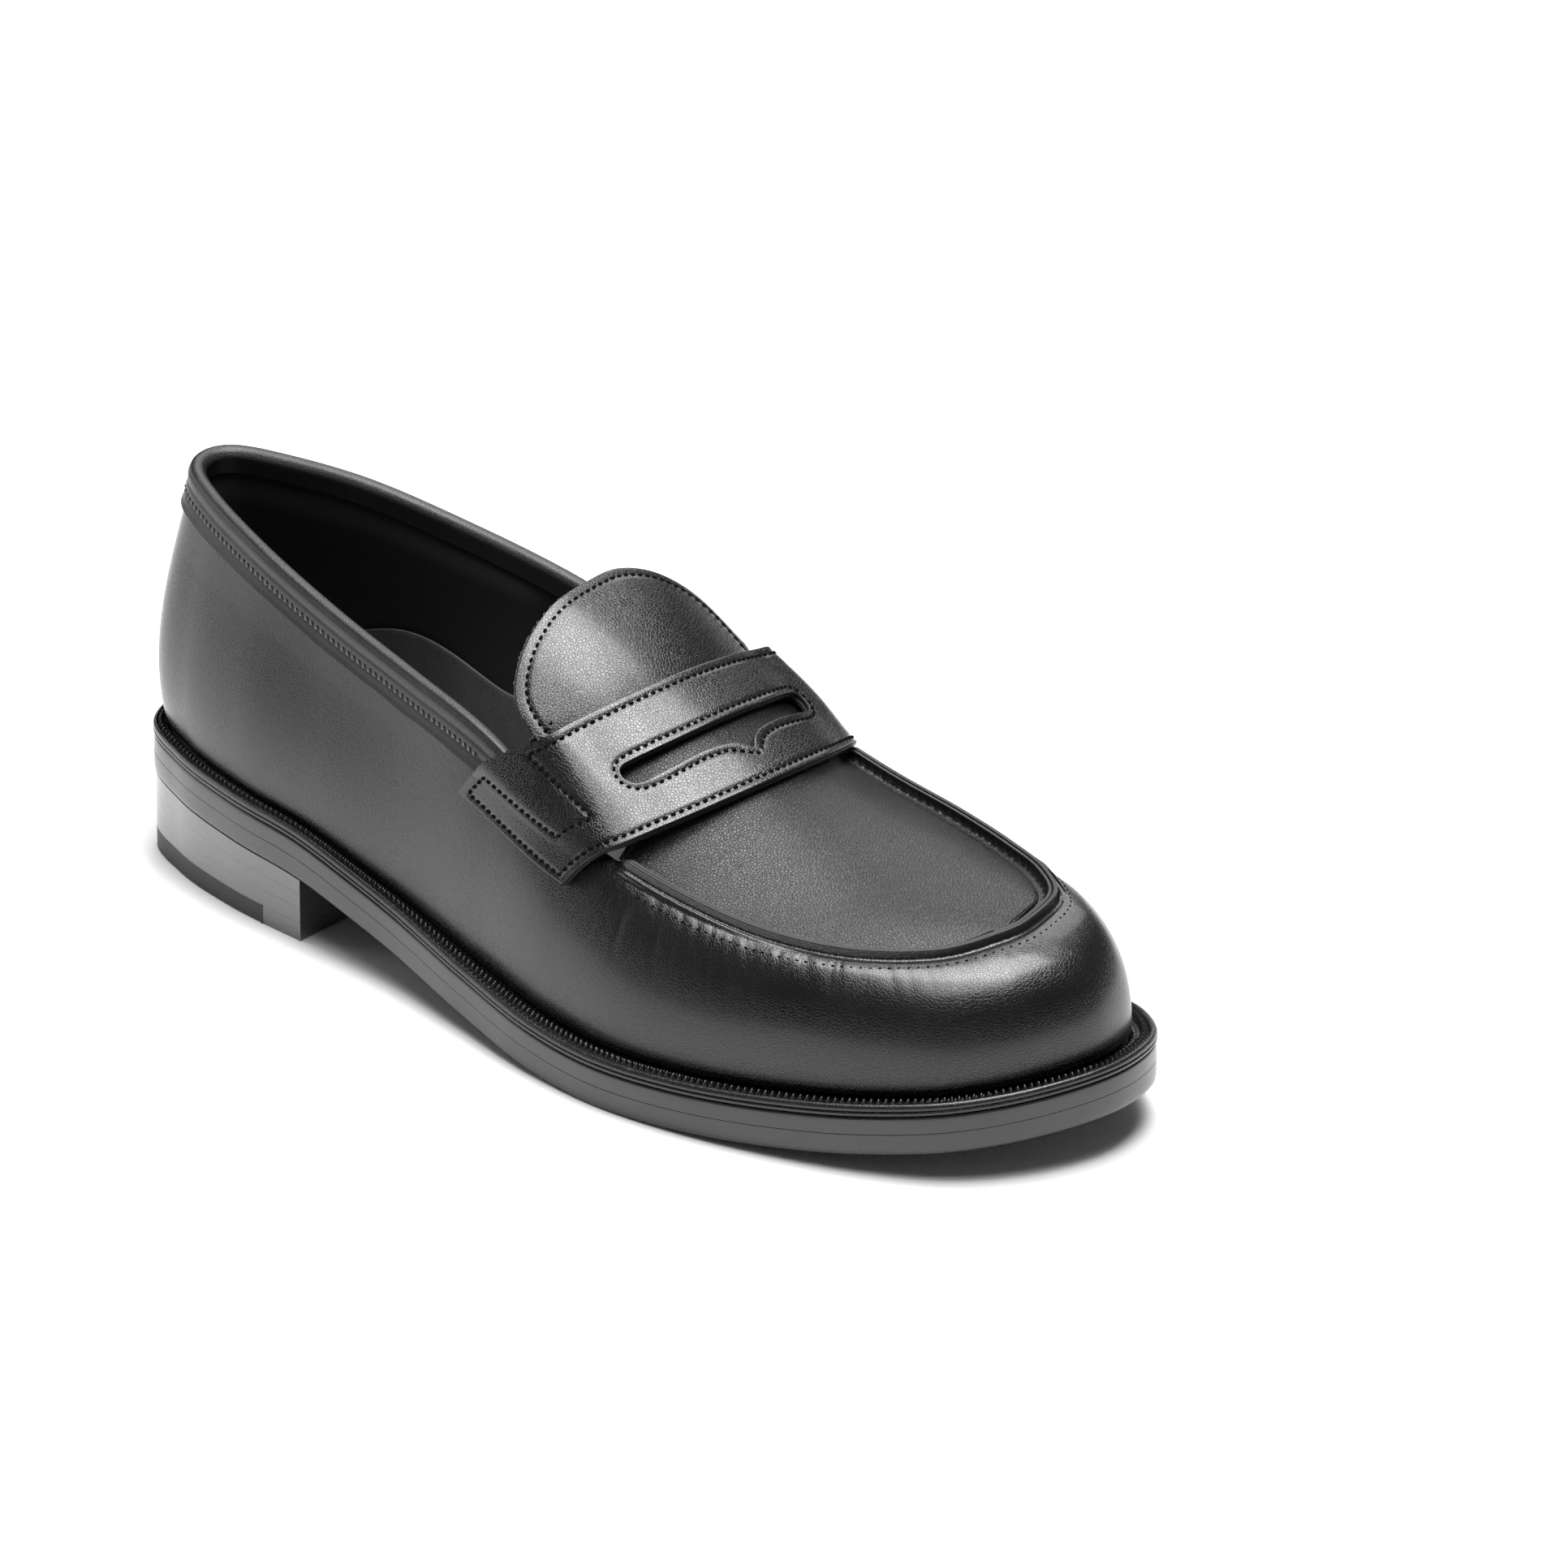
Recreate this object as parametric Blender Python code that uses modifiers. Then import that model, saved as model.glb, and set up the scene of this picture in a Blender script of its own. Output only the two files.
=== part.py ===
"""Penny loafer, right foot: welted leather shoe built from separate pieces.

Shape is worked out in millimetres as (a, b, z): a forward from the heel's back, b towards the
outer side, z up. World metres: toe towards -Y, outer side towards -X, floor at Z = 0.
"""
import bpy
import bmesh
import numpy as np
from mathutils import Vector

NAME = "penny_loafer"
GAP = 0.3                 # clearance left between neighbouring pieces, mm
LENGTH = 300.0            # outsole length
MID_B = 5.38              # b of the bounding box's middle
BREAST_A = 72.0           # front face of the heel
BREAST_H = 16.8           # heel height at the breast
PITCH = 0.06              # rise of the heel seat per mm backwards
GROUND_A = 186.0          # where the sole meets the floor
SPRING = 11.3             # toe spring
WELT_TOP = 12.4           # heights above the sole's underside
OUTSOLE = (0.0, 5.0)
MIDSOLE = (5.3, 8.4)
WELT_Z = (8.7, 12.4)
UPPER_T = 1.4             # upper leather
LINING_T = 0.9
STIFF_T = 1.4             # heel counter and toe puff
MARGIN_Z = 12.8           # underside of the upper's lasting margin
LINING_Z = 14.4           # underside of the lining's margin
INSOLE_Z = (15.6, 18.0)
SOCK_Z = 18.3
SOCK_T = 1.0
PAD_T = 3.0
PAD_END = 96.0            # where the heel pad has faded out
PAD_FADE = 20.0
CORK_Z = (8.7, 12.9)
SHANK_A = (52.0, 165.0)   # steel shank: length, width and height
SHANK_B = (-8.5, 4.5)
SHANK_Z = (13.2, 14.7)
HEEL_IN = 0.6             # heel's face inside the sole's edge
LIFTS = (0.0, 0.28, 0.52, 0.76, 1.0)     # shares of the heel's height where its layers meet
RUBBER_END = (58.0, 28.0)  # front of the rubber tip, outer and inner side
NAIL_SPOTS = ((16.0, -5.0), (38.0, 16.0), (38.0, -22.0), (60.0, -2.0))
NAIL_R = 1.2
BINDING_W = 9.0           # binding's outside leg
BINDING_T = 0.7
RIDGE_H = 3.0             # raised apron seam
STRAP_T = 1.2             # strap, and its backing, each
TONGUE_T = 1.3
SLOT = (0.13, 0.87)       # slot ends across the strap
THREAD_R = 0.32

# Places round the shoe, outer side first: sole outline (a, b), upper edge (a, b, z),
# and how full the wall is between them.
STATIONS = np.array([
    (0.0, -4.0, 6.5, -5.5, 98.5, .36, .0, .34, 6.8, 5.2),
    (5.5, 14.0, 9.6, 2.0, 97.6, .36, .0, .34, 5.8, 4.6),
    (22.0, 23.7, 20.5, 8.0, 95.2, .34, .0, .34, 4.0, 3.6),
    (45.0, 30.6, 42.0, 15.2, 90.6, .34, .0, .34, 2.4, 2.8),
    (75.0, 35.0, 72.0, 21.6, 83.4, .34, .0, .34, 1.5, 2.0),
    (105.0, 39.6, 102.0, 26.8, 77.2, .36, .0, .34, 1.5, 2.0),
    (135.0, 47.6, 131.0, 32.0, 71.4, .38, .1, .26, 1.5, 2.0),
    (165.0, 55.6, 161.0, 37.0, 60.3, .42, .3, .14, 2.0, 1.0),
    (190.0, 58.7, 184.0, 37.8, 52.6, .50, .4, .04, 2.0, 0.5),
    (213.0, 57.4, 208.0, 36.4, 47.8, .60, .45, .0, 1.8, 0.0),
    (238.0, 52.6, 229.0, 33.3, 45.8, .68, .5, -.04, 1.5, 0.0),
    (261.0, 45.4, 247.0, 27.0, 45.6, .74, .5, -.08, 1.2, 0.0),
    (280.0, 35.0, 261.0, 17.0, 46.6, .78, .5, -.10, 1.0, 0.0),
    (293.0, 19.3, 268.0, 6.0, 48.6, .80, .5, -.10, 1.0, 0.0),
    (300.0, -6.0, 269.5, -6.0, 49.8, .80, .5, -.10, 1.0, 0.0),
    (295.5, -21.3, 266.0, -18.0, 50.2, .78, .5, -.10, 1.0, 0.0),
    (283.0, -33.4, 256.0, -26.5, 50.3, .74, .5, -.08, 1.2, 0.0),
    (263.0, -41.8, 240.0, -33.0, 50.5, .66, .5, -.04, 1.5, 0.0),
    (240.0, -46.8, 222.0, -37.0, 51.8, .56, .45, .0, 2.0, 0.5),
    (213.0, -47.8, 200.0, -39.5, 54.0, .46, .35, .08, 2.5, 1.0),
    (185.0, -43.3, 177.0, -41.0, 58.3, .40, .2, .16, 3.0, 1.5),
    (155.0, -35.9, 152.0, -40.0, 65.0, .38, .1, .24, 3.0, 2.0),
    (125.0, -31.5, 125.0, -38.0, 73.6, .36, .0, .34, 2.5, 2.0),
    (95.0, -31.4, 97.0, -37.3, 81.0, .34, .0, .34, 1.5, 2.0),
    (70.0, -34.3, 69.0, -33.0, 87.6, .34, .0, .34, 1.5, 2.0),
    (45.0, -36.3, 42.0, -26.2, 94.0, .34, .0, .34, 2.4, 2.8),
    (22.0, -32.6, 20.5, -18.6, 97.2, .34, .0, .34, 4.0, 3.6),
    (5.5, -22.0, 9.6, -12.8, 98.4, .36, .0, .34, 5.8, 4.6),
])

# Rear edge of the tongue, outer root to inner root.
TONGUE_EDGE = np.array([
    (148.4, 31.3, 73.6), (138.8, 29.2, 81.2), (133.4, 21.0, 89.8), (131.0, 8.0, 97.0),
    (130.9, -6.0, 99.3), (131.6, -17.0, 99.2), (134.8, -28.0, 94.9), (140.9, -36.6, 86.8),
    (153.8, -40.8, 74.8)])


# ---------------------------------------------------------------- curves and surfaces

def smooth(x):
    x = np.clip(x, 0.0, 1.0)
    return x * x * (3 - 2 * x)


def chords():
    o = STATIONS[:, :2]
    return np.linalg.norm(np.roll(o, -1, axis=0) - o, axis=1)


def stations(at):
    """Every column of STATIONS at fractions round the shoe, by closed cubic curves."""
    rows, dt = STATIONS, chords()
    t = np.r_[0.0, np.cumsum(dt)]
    q = np.mod(np.asarray(at, float) * t[-1], t[-1])
    dn, dp = dt[:, None], np.roll(dt, 1)[:, None]
    nxt, prv = np.roll(rows, -1, axis=0), np.roll(rows, 1, axis=0)
    m = (dp * (nxt - rows) / dn + dn * (rows - prv) / dp) / (dn + dp)
    i = np.clip(np.searchsorted(t, q, side="right") - 1, 0, len(rows) - 1)
    h, j = dt[i][:, None], (i + 1) % len(rows)
    u = ((q - t[i]) / dt[i])[:, None]
    return ((2 * u ** 3 - 3 * u ** 2 + 1) * rows[i] + (u ** 3 - 2 * u ** 2 + u) * h * m[i]
            + (-2 * u ** 3 + 3 * u ** 2) * rows[j] + (u ** 3 - u ** 2) * h * m[j])


def open_spline(rows, q):
    """Catmull-Rom curve through rows sitting at whole numbers 0, 1, 2..."""
    rows = np.asarray(rows, float)
    n = len(rows)
    q = np.clip(np.atleast_1d(np.asarray(q, float)), 0, n - 1)
    i = np.minimum(q.astype(int), n - 2)
    ext = np.concatenate([[2 * rows[0] - rows[1]], rows, [2 * rows[-1] - rows[-2]]])
    u = (q - i).reshape((-1,) + (1,) * (rows.ndim - 1))
    p0, p1, p2, p3 = ext[i], ext[i + 1], ext[i + 2], ext[i + 3]
    return 0.5 * (2 * p1 + (p2 - p0) * u + (2 * p0 - 5 * p1 + 4 * p2 - p3) * u ** 2
                  + (3 * p1 - p0 - 3 * p2 + p3) * u ** 3)


def sole_z(a):
    """Height of the sole's underside above the floor."""
    a = np.asarray(a, float)
    u = np.clip((a - BREAST_A) / (GROUND_A - BREAST_A), 0, 1)
    rear = np.where(a < BREAST_A, BREAST_H + PITCH * (BREAST_A - a), BREAST_H * (1 - u) ** 1.65)
    rear = rear - 0.0038 * np.clip(12.0 - np.abs(a - BREAST_A), 0, None) ** 2
    return rear + SPRING * np.clip((a - GROUND_A) / (LENGTH - GROUND_A), 0, 1) ** 2


def welt_width(a):
    """Visible welt outside the upper."""
    return 3.6 + 2.6 * smooth((np.asarray(a) - 60) / 120.0)


def loop_normals(p):
    t = np.roll(p, -1, axis=0) - np.roll(p, 1, axis=0)
    t = t / np.linalg.norm(t, axis=1)[:, None]
    return np.c_[-t[:, 1], t[:, 0]]


FINE = np.linspace(0, 1, 721)
FINE_OUT = stations(FINE[:-1])
FINE_NRM = loop_normals(FINE_OUT[:, :2])
TIP = int(np.argmax(FINE_OUT[:, 0]))
RING = FINE[:-1][::15]     # places shared by every layer of the upper, so they nest
HS = (0.14, 0.28, 0.44, 0.60, 0.76, 0.88, 0.94)


def ring_between(rear):
    """Shared places round the heel (a below rear) or round the toe (a above -rear), in order."""
    a = stations(RING)[:, 0]
    if rear > 0:
        half = len(RING) // 2
        keep = np.roll(RING - (RING > 0.5), half)
        return keep[np.roll(a, half) < rear]
    return RING[a > -rear]


def edge_normal(at):
    q = np.mod(np.asarray(at, float), 1.0) * 720
    i = q.astype(int) % 720
    n = FINE_NRM[i] * (1 - q % 1)[:, None] + FINE_NRM[(i + 1) % 720] * (q % 1)[:, None]
    return n / np.linalg.norm(n, axis=1)[:, None]


def outline(at, inset=0.0):
    """Sole outline (a, b) moved inwards by inset."""
    at = np.asarray(at, float)
    return stations(at)[:, :2] - edge_normal(at) * np.broadcast_to(inset, at.shape)[:, None]


def feather(at, inset=0.0):
    """Line where the upper meets the welt."""
    return outline(at, welt_width(stations(at)[:, 0]) + inset)


def wall(at, h):
    """Outer face of the upper: h from 0 at the welt to 1 at the upper edge; h can differ per place."""
    at = np.asarray(at, float)
    s = stations(at)
    f = feather(at)
    zf = sole_z(f[:, 0]) + MARGIN_Z
    foot, edge = np.c_[f, zf], s[:, 2:5]
    tall = (edge[:, 2] - zf)[:, None]
    up, out = np.array([0, 0, 1.0]), np.c_[edge_normal(at), 0 * zf]
    k1, k2, k3, o1, o2 = (s[:, i:i + 1] for i in range(5, 10))
    c1 = foot + out * o1 + up * k1 * tall
    c2 = edge + (foot - edge) * np.array([1, 1, 0]) * k2 + out * o2 - up * k3 * tall
    u = np.atleast_1d(np.asarray(h, float))
    u = np.broadcast_to(u[:, None] if u.ndim == 1 else u, (u.shape[0], len(at)))[:, :, None]
    return ((1 - u) ** 3 * foot + 3 * (1 - u) ** 2 * u * c1 + 3 * (1 - u) * u ** 2 * c2 + u ** 3 * edge)


def top_edge(side, a):
    """Point of the wall's upper edge at a; side +1 outer, -1 inner."""
    e = stations(FINE)[:, 2:5]
    k = int(np.argmax(e[:, 0]))
    e = e[:k + 1] if side > 0 else e[k:][::-1]
    return np.array([a, np.interp(a, e[:, 0], e[:, 1]), np.interp(a, e[:, 0], e[:, 2])])


def place(side, a):
    """Fraction round the shoe where the upper edge reaches a."""
    e = stations(FINE)[:, 2]
    k = int(np.argmax(e))
    if side > 0:
        return np.interp(a, e[:k + 1], FINE[:k + 1])
    return np.interp(a, e[k:][::-1], FINE[k:][::-1])


def drop_height(at, drop):
    """Wall height h that lies drop mm below the upper edge, measured along the wall."""
    hs = np.linspace(0, 1, 61)
    p = wall(at, hs)
    d = np.linalg.norm(np.diff(p, axis=0), axis=2)[::-1]
    run = np.vstack([np.zeros(len(at)), np.cumsum(d, axis=0)])
    drop = np.broadcast_to(drop, (len(at),))
    return np.array([np.interp(drop[k], run[:, k], hs[::-1]) for k in range(len(at))])


def grid_normals(p):
    du, dv = np.gradient(p, axis=0), np.gradient(p, axis=1)
    n = np.cross(du, dv)
    return n / np.maximum(np.linalg.norm(n, axis=2), 1e-9)[:, :, None]


def offset(p, d, inside=(150.0, -3.0, 40.0)):
    """Grid moved d mm along its normals, positive away from the inside of the shoe."""
    n = grid_normals(p)
    sign = np.sign(np.sum(n * (p - np.array(inside))))
    return p + n * sign * (np.broadcast_to(d, p.shape[:2])[..., None] if np.ndim(d) else d)


# Upper face of the instep: each row is an outer, an inner and a middle point, fold to toe.
TOP_ROWS = np.array([
    [(147.6, 32.9, 72.5), (154.5, -42.0, 72.8), (160.8, -4.5, 82.3)],
    [(162.5, 35.5, 62.8), (169.0, -42.6, 64.8), (177.3, -4.0, 73.4)],
    [top_edge(1, 177), top_edge(-1, 183.5), (193.0, -3.2, 64.6)],
    [top_edge(1, 190), top_edge(-1, 196), (206.0, -2.5, 59.6)],
    [top_edge(1, 205), top_edge(-1, 209), (219.0, -2.8, 56.2)],
    [top_edge(1, 222), top_edge(-1, 223), (233.0, -3.2, 53.8)],
    [top_edge(1, 238), top_edge(-1, 238), (246.0, -4.0, 52.6)],
    [top_edge(1, 252), top_edge(-1, 250), (257.0, -5.5, 51.8)],
    [top_edge(1, 261), top_edge(-1, 259), (263.6, -6.0, 51.0)],
    [top_edge(1, 266.5), top_edge(-1, 264.5), (268.2, -6.0, 50.2)],
], float)


def top(v, t):
    """Instep surface: v 0 at the tongue fold, 2 at the strap's front, 9 at the toe; t 0 outer, 1 inner."""
    r = open_spline(TOP_ROWS, v)
    t = np.atleast_1d(np.asarray(t, float))[None, :, None]
    lo, hi, mid = r[:, None, 0], r[:, None, 1], r[:, None, 2]
    return lo + (hi - lo) * t + 4 * t * (1 - t) * (mid - (lo + hi) / 2)


# ---------------------------------------------------------------- Blender helpers

def world(p):
    p = np.asarray(p, float)
    out = np.stack([MID_B - p[..., 1], LENGTH / 2 - p[..., 0], p[..., 2]], axis=-1)
    return out / 1000.0


def clear_scene():
    for ob in list(bpy.data.objects):
        bpy.data.objects.remove(ob, do_unlink=True)
    for col in list(bpy.data.collections):
        bpy.data.collections.remove(col)


def collection(name):
    col = bpy.data.collections.new(name)
    bpy.context.scene.collection.children.link(col)
    return col


def material(name, rgb, rough, metal=0.0):
    mat = bpy.data.materials.new(name)
    mat.use_nodes = True
    bsdf = mat.node_tree.nodes["Principled BSDF"]
    bsdf.inputs["Base Color"].default_value = (*rgb, 1.0)
    bsdf.inputs["Roughness"].default_value = rough
    bsdf.inputs["Metallic"].default_value = metal
    mat.diffuse_color = (*rgb, 1.0)
    return mat


BLACK = (0.018, 0.018, 0.02)
LOOKS = {
    "upper": (BLACK, 0.4), "strap": (BLACK, 0.3), "binding": ((0.03, 0.03, 0.033), 0.45),
    "lining": ((0.03, 0.028, 0.027), 0.8), "sock": ((0.06, 0.06, 0.062), 0.75),
    "thread": ((0.01, 0.01, 0.01), 0.7), "sole_leather": ((0.03, 0.03, 0.032), 0.35),
    "welt": ((0.02, 0.02, 0.022), 0.4), "rubber": ((0.012, 0.012, 0.012), 0.7),
    "cork": ((0.35, 0.22, 0.12), 0.9), "board": ((0.42, 0.30, 0.19), 0.8),
    "steel": ((0.55, 0.55, 0.56), 0.35),
    "foam": ((0.5, 0.5, 0.48), 0.9), "canvas": ((0.6, 0.56, 0.46), 0.9),
    "stiffener": ((0.5, 0.42, 0.3), 0.85), "suede": ((0.05, 0.045, 0.042), 0.95),
}


def finish_object(ob, look):
    rgb, rough = LOOKS[look]
    metal = 1.0 if look == "steel" else 0.0
    ob.data.materials.append(material(ob.name + "_" + look, rgb, rough, metal))
    MAIN.objects.link(ob)
    return ob


def mesh_object(name, verts, faces, look, closed=True, link=True):
    """Mesh from world points; closed meshes get outward normals."""
    me = bpy.data.meshes.new(name)
    me.from_pydata([tuple(v) for v in verts], [], [tuple(f) for f in faces])
    bm = bmesh.new()
    bm.from_mesh(me)
    bmesh.ops.remove_doubles(bm, verts=bm.verts, dist=1e-6)
    if closed:
        bmesh.ops.recalc_face_normals(bm, faces=bm.faces)
    bm.to_mesh(me)
    bm.free()
    ob = bpy.data.objects.new(name, me)
    return finish_object(ob, look) if link else ob


def grid_faces(rows, cols, closed):
    out = []
    for i in range(rows - 1):
        for j in range(cols if closed else cols - 1):
            k = (j + 1) % cols
            out.append((i * cols + j, i * cols + k, (i + 1) * cols + k, (i + 1) * cols + j))
    return out


def shell(name, grid, thick, look, closed=False, side=-1.0):
    """Open lofted surface given a thickness; side -1 grows it towards the inside of the shoe."""
    rows, cols = grid.shape[:2]
    pts = world(grid).reshape(-1, 3)
    faces = grid_faces(rows, cols, closed)
    n = grid_normals(world(grid))
    flip = np.sum(n * (world(grid) - world(np.array([150.0, -3.0, 40.0]))))
    first = np.array([pts[i] for i in faces[0]])
    fn = np.cross(first[1] - first[0], first[3] - first[0])
    if np.sign(np.dot(fn, n[0, 0])) * np.sign(flip) < 0:
        faces = [f[::-1] for f in faces]
    ob = mesh_object(name, pts, faces, look, closed=False)
    mod = ob.modifiers.new("thickness", "SOLIDIFY")
    mod.thickness = thick / 1000.0
    mod.offset = side
    mod.use_even_offset = False
    mod.use_quality_normals = True
    return ob


def thread(name, pts, look="thread", cyclic=False, radius=THREAD_R):
    """Continuous stitching thread along points."""
    cu = bpy.data.curves.new(name, "CURVE")
    cu.dimensions = "3D"
    cu.bevel_depth = radius / 1000.0
    cu.bevel_resolution = 0
    cu.use_fill_caps = not cyclic
    sp = cu.splines.new("POLY")
    sp.points.add(len(pts) - 1)
    for p, q in zip(sp.points, world(pts)):
        p.co = (*q, 1.0)
    sp.use_cyclic_u = cyclic
    return finish_object(bpy.data.objects.new(name, cu), look)


def cutter(name, ob_data):
    ob = bpy.data.objects.new(name, ob_data)
    CUTTERS.objects.link(ob)
    ob.hide_render = True
    ob.display_type = "WIRE"
    return ob


def cut(ob, tool):
    mod = ob.modifiers.new("cut_" + tool.name, "BOOLEAN")
    mod.operation = "DIFFERENCE"
    mod.solver = "EXACT"
    mod.object = tool
    return mod


# ---------------------------------------------------------------- flat layers

def side_pairs(inset_fn, back, front, n):
    """Matching outer and inner edge points (a, b) from the back to the front of a layer."""
    lat_at = FINE[:TIP + 1]
    med_at = FINE[TIP:][::-1]
    out = []
    for at, lims in ((lat_at, (back[0], front[0])), (med_at, (back[1], front[1]))):
        p = inset_fn(at)
        d = np.r_[0, np.cumsum(np.linalg.norm(np.diff(p, axis=0), axis=1))]
        rear = np.argmin(p[:, 0]) if lims[0] is None else np.argmax(p[:, 0] > lims[0])
        start = 0.0 if lims[0] is None else np.interp(lims[0], p[rear - 1:rear + 1, 0], d[rear - 1:rear + 1])
        if lims[1] is None:
            end = d[-1]
        else:
            k = np.argmax(p[:, 0] > lims[1])
            end = np.interp(lims[1], p[k - 1:k + 1, 0], d[k - 1:k + 1])
        q = start + (end - start) * np.linspace(0, 1, n)
        out.append(np.c_[np.interp(q, d, p[:, 0]), np.interp(q, d, p[:, 1])])
    return out


def slab(name, look, inset, z0, z1, back=(None, None), front=(None, None), n=24, soften=0.0):
    """Solid layer between two height functions, inside the outline or part of it."""
    lat, med = side_pairs(inset, back, front, n)
    apex0, apex1 = back[0] is None, front[0] is None
    if apex0:
        lat[0] = med[0] = (lat[0] + med[0]) / 2
    if apex1:
        lat[-1] = med[-1] = (lat[-1] + med[-1]) / 2
    loop = np.r_[lat, med[::-1][(1 if apex1 else 0):(-1 if apex0 else None)]]
    nrm = loop_normals(loop)
    m = len(loop)

    def ring(fn, dz, inn):
        p = loop - nrm * inn
        return np.c_[p, fn(loop[:, 0]) + dz]
    rings = [ring(z0, 0, soften), ring(z0, soften, 0), ring(z1, 0, 0)] if soften else \
        [ring(z0, 0, 0), ring(z1, 0, 0)]
    verts = world(np.concatenate(rings))
    faces = []
    for r in range(len(rings) - 1):
        for j in range(m):
            k = (j + 1) % m
            faces.append((r * m + j, r * m + k, (r + 1) * m + k, (r + 1) * m + j))
    # pair i of the caps: outer point i, inner point counted back from the loop's end
    mate = [0 if (apex0 and i == 0) else m - i - (0 if apex0 else 1) for i in range(n)]
    if apex1:
        mate[n - 1] = n - 1
    for base in (0, (len(rings) - 1) * m):
        for i in range(n - 1):
            f = [i, i + 1, mate[i + 1], mate[i]]
            f = [v for k, v in enumerate(f) if v not in f[:k]]
            faces.append([base + v for v in f])
    return mesh_object(name, verts, faces, look)


def above(h):
    return lambda a: sole_z(a) + h


def inside_edge(inset):
    """Outline of a layer that stops inset mm inside the sole's edge."""
    return lambda at: outline(at, inset)


def inside_upper(inset):
    """Outline of a layer that lies inset mm inside the line where the upper meets the welt."""
    return lambda at: feather(at, inset)


def pad_rise(a):
    """How far the heel pad lifts the sock."""
    return PAD_T * smooth((PAD_END - a) / PAD_FADE)


def on_pad(h):
    return lambda a: sole_z(a) + h + pad_rise(a)


def build_bottom():
    slab("outsole", "sole_leather", inside_edge(0.2), above(OUTSOLE[0]), above(OUTSOLE[1]), n=30, soften=0.7)
    slab("midsole", "sole_leather", inside_edge(0.2), above(MIDSOLE[0]), above(MIDSOLE[1]), n=30)
    slab("cork_filler", "cork", inside_upper(12.6), above(CORK_Z[0]), above(CORK_Z[1]), n=20)
    slab("insole", "board", inside_upper(5.9), above(INSOLE_Z[0]), above(INSOLE_Z[1]), n=26)
    slab("heel_pad", "foam", inside_upper(8.0), above(SOCK_Z), on_pad(SOCK_Z - 0.4), front=(88.0, 88.0), n=14)
    slab("sock_liner", "sock", inside_upper(6.1), on_pad(SOCK_Z + 0.2), on_pad(SOCK_Z + SOCK_T + 0.2), n=28)


def build_shank():
    """Steel stiffener under the waist, a narrow strip that follows the sole."""
    a = np.linspace(SHANK_A[0], SHANK_A[1], 12)
    left, right = SHANK_B
    low, high = SHANK_Z
    section = ((left, low), (right, low), (right, high), (left, high))
    rings = np.array([[(ai, b, sole_z(ai) + z) for b, z in section] for ai in a])
    faces = grid_faces(len(a), 4, True)
    n = len(a) * 4
    faces += [(3, 2, 1, 0), (n - 4, n - 3, n - 2, n - 1)]
    mesh_object("shank", world(rings.reshape(-1, 3)), faces, "steel")


def ring_sweep(name, look, section, base, n=48):
    """Closed ring round the shoe; section is a list of (inset, height above the sole's underside)."""
    at = FINE[:-1][::720 // n]
    rings = []
    for inset, h in section:
        p = base(at, inset)
        rings.append(np.c_[p, sole_z(p[:, 0]) + h])
    grid = np.array(rings)
    k, m = grid.shape[:2]
    faces = [(i * m + j, i * m + (j + 1) % m, ((i + 1) % k) * m + (j + 1) % m, ((i + 1) % k) * m + j)
             for i in range(k) for j in range(m)]
    return mesh_object(name, world(grid).reshape(-1, 3), faces, look)


def welt_line(at, inset):
    """Line of the welt: its hidden inner edge is measured from the upper, the rest from the outside."""
    return feather(at, inset) if inset > 5 else outline(at, inset)


def build_welt():
    lip = [(9.0, WELT_Z[0]), (0.5, WELT_Z[0]), (0.0, 9.4), (0.0, 11.5), (0.8, WELT_Z[1]), (9.0, WELT_Z[1])]
    ring_sweep("welt", "welt", lip, welt_line)
    rib = [(10.2, 8.7), (10.2, 15.3), (11.8, 15.3), (11.8, 8.7)]
    ring_sweep("insole_rib", "canvas", rib, feather)
    p = outline(FINE[:-1][::15], 2.5)
    thread("welt_stitching", np.c_[p, sole_z(p[:, 0]) + WELT_Z[1] + 0.3 + THREAD_R], cyclic=True)


def share_of_heel(f, shift):
    """Height function at a share f of the heel's height."""
    return lambda a: f * sole_z(a) + shift


def build_heel():
    face = inside_edge(HEEL_IN)
    breast = (BREAST_A, BREAST_A)
    lifts = []
    for k, name in enumerate(("heel_top_piece", "heel_lift_1", "heel_lift_2", "heel_lift_3")):
        z0 = share_of_heel(LIFTS[k], GAP * 0.5 if k else 0.0)
        z1 = share_of_heel(LIFTS[k + 1], -GAP * 0.5)
        if k == 0:
            slab("heel_rubber", "rubber", face, z0, z1, front=RUBBER_END, n=12)
            behind = tuple(a + GAP + 0.1 for a in RUBBER_END)
            slab(name, "sole_leather", face, z0, z1, back=behind, front=breast, n=6)
        else:
            lifts.append(slab(name, "sole_leather", face, z0, z1, front=breast, n=13))
    build_heel_nails(lifts)


def build_heel_nails(lifts):
    """Steel nails through the lifts, each in its own hole."""
    for k, (a, b) in enumerate(NAIL_SPOTS, 1):
        z0 = LIFTS[1] * float(sole_z(a)) + 0.6
        z1 = float(sole_z(a)) - 0.6
        x, y, _ = world((a, b, 0.0))
        for nm, r, lo, hi in (("heel_nail_%d" % k, NAIL_R, z0, z1),
                              ("nail_hole_%d" % k, NAIL_R + GAP, z0 - 3, z1 + 3)):
            me = bpy.data.meshes.new(nm)
            bm = bmesh.new()
            bmesh.ops.create_cone(bm, cap_ends=True, segments=8, radius1=r / 1000, radius2=r / 1000,
                                  depth=(hi - lo) / 1000)
            bmesh.ops.translate(bm, verts=bm.verts, vec=(x, y, (lo + hi) / 2000))
            bm.to_mesh(me)
            bm.free()
            if nm.startswith("heel"):
                finish_object(bpy.data.objects.new(nm, me), "steel")
            else:
                tool = cutter(nm, me)
                for lift in lifts:
                    cut(lift, tool)


# ---------------------------------------------------------------- upper

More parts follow.
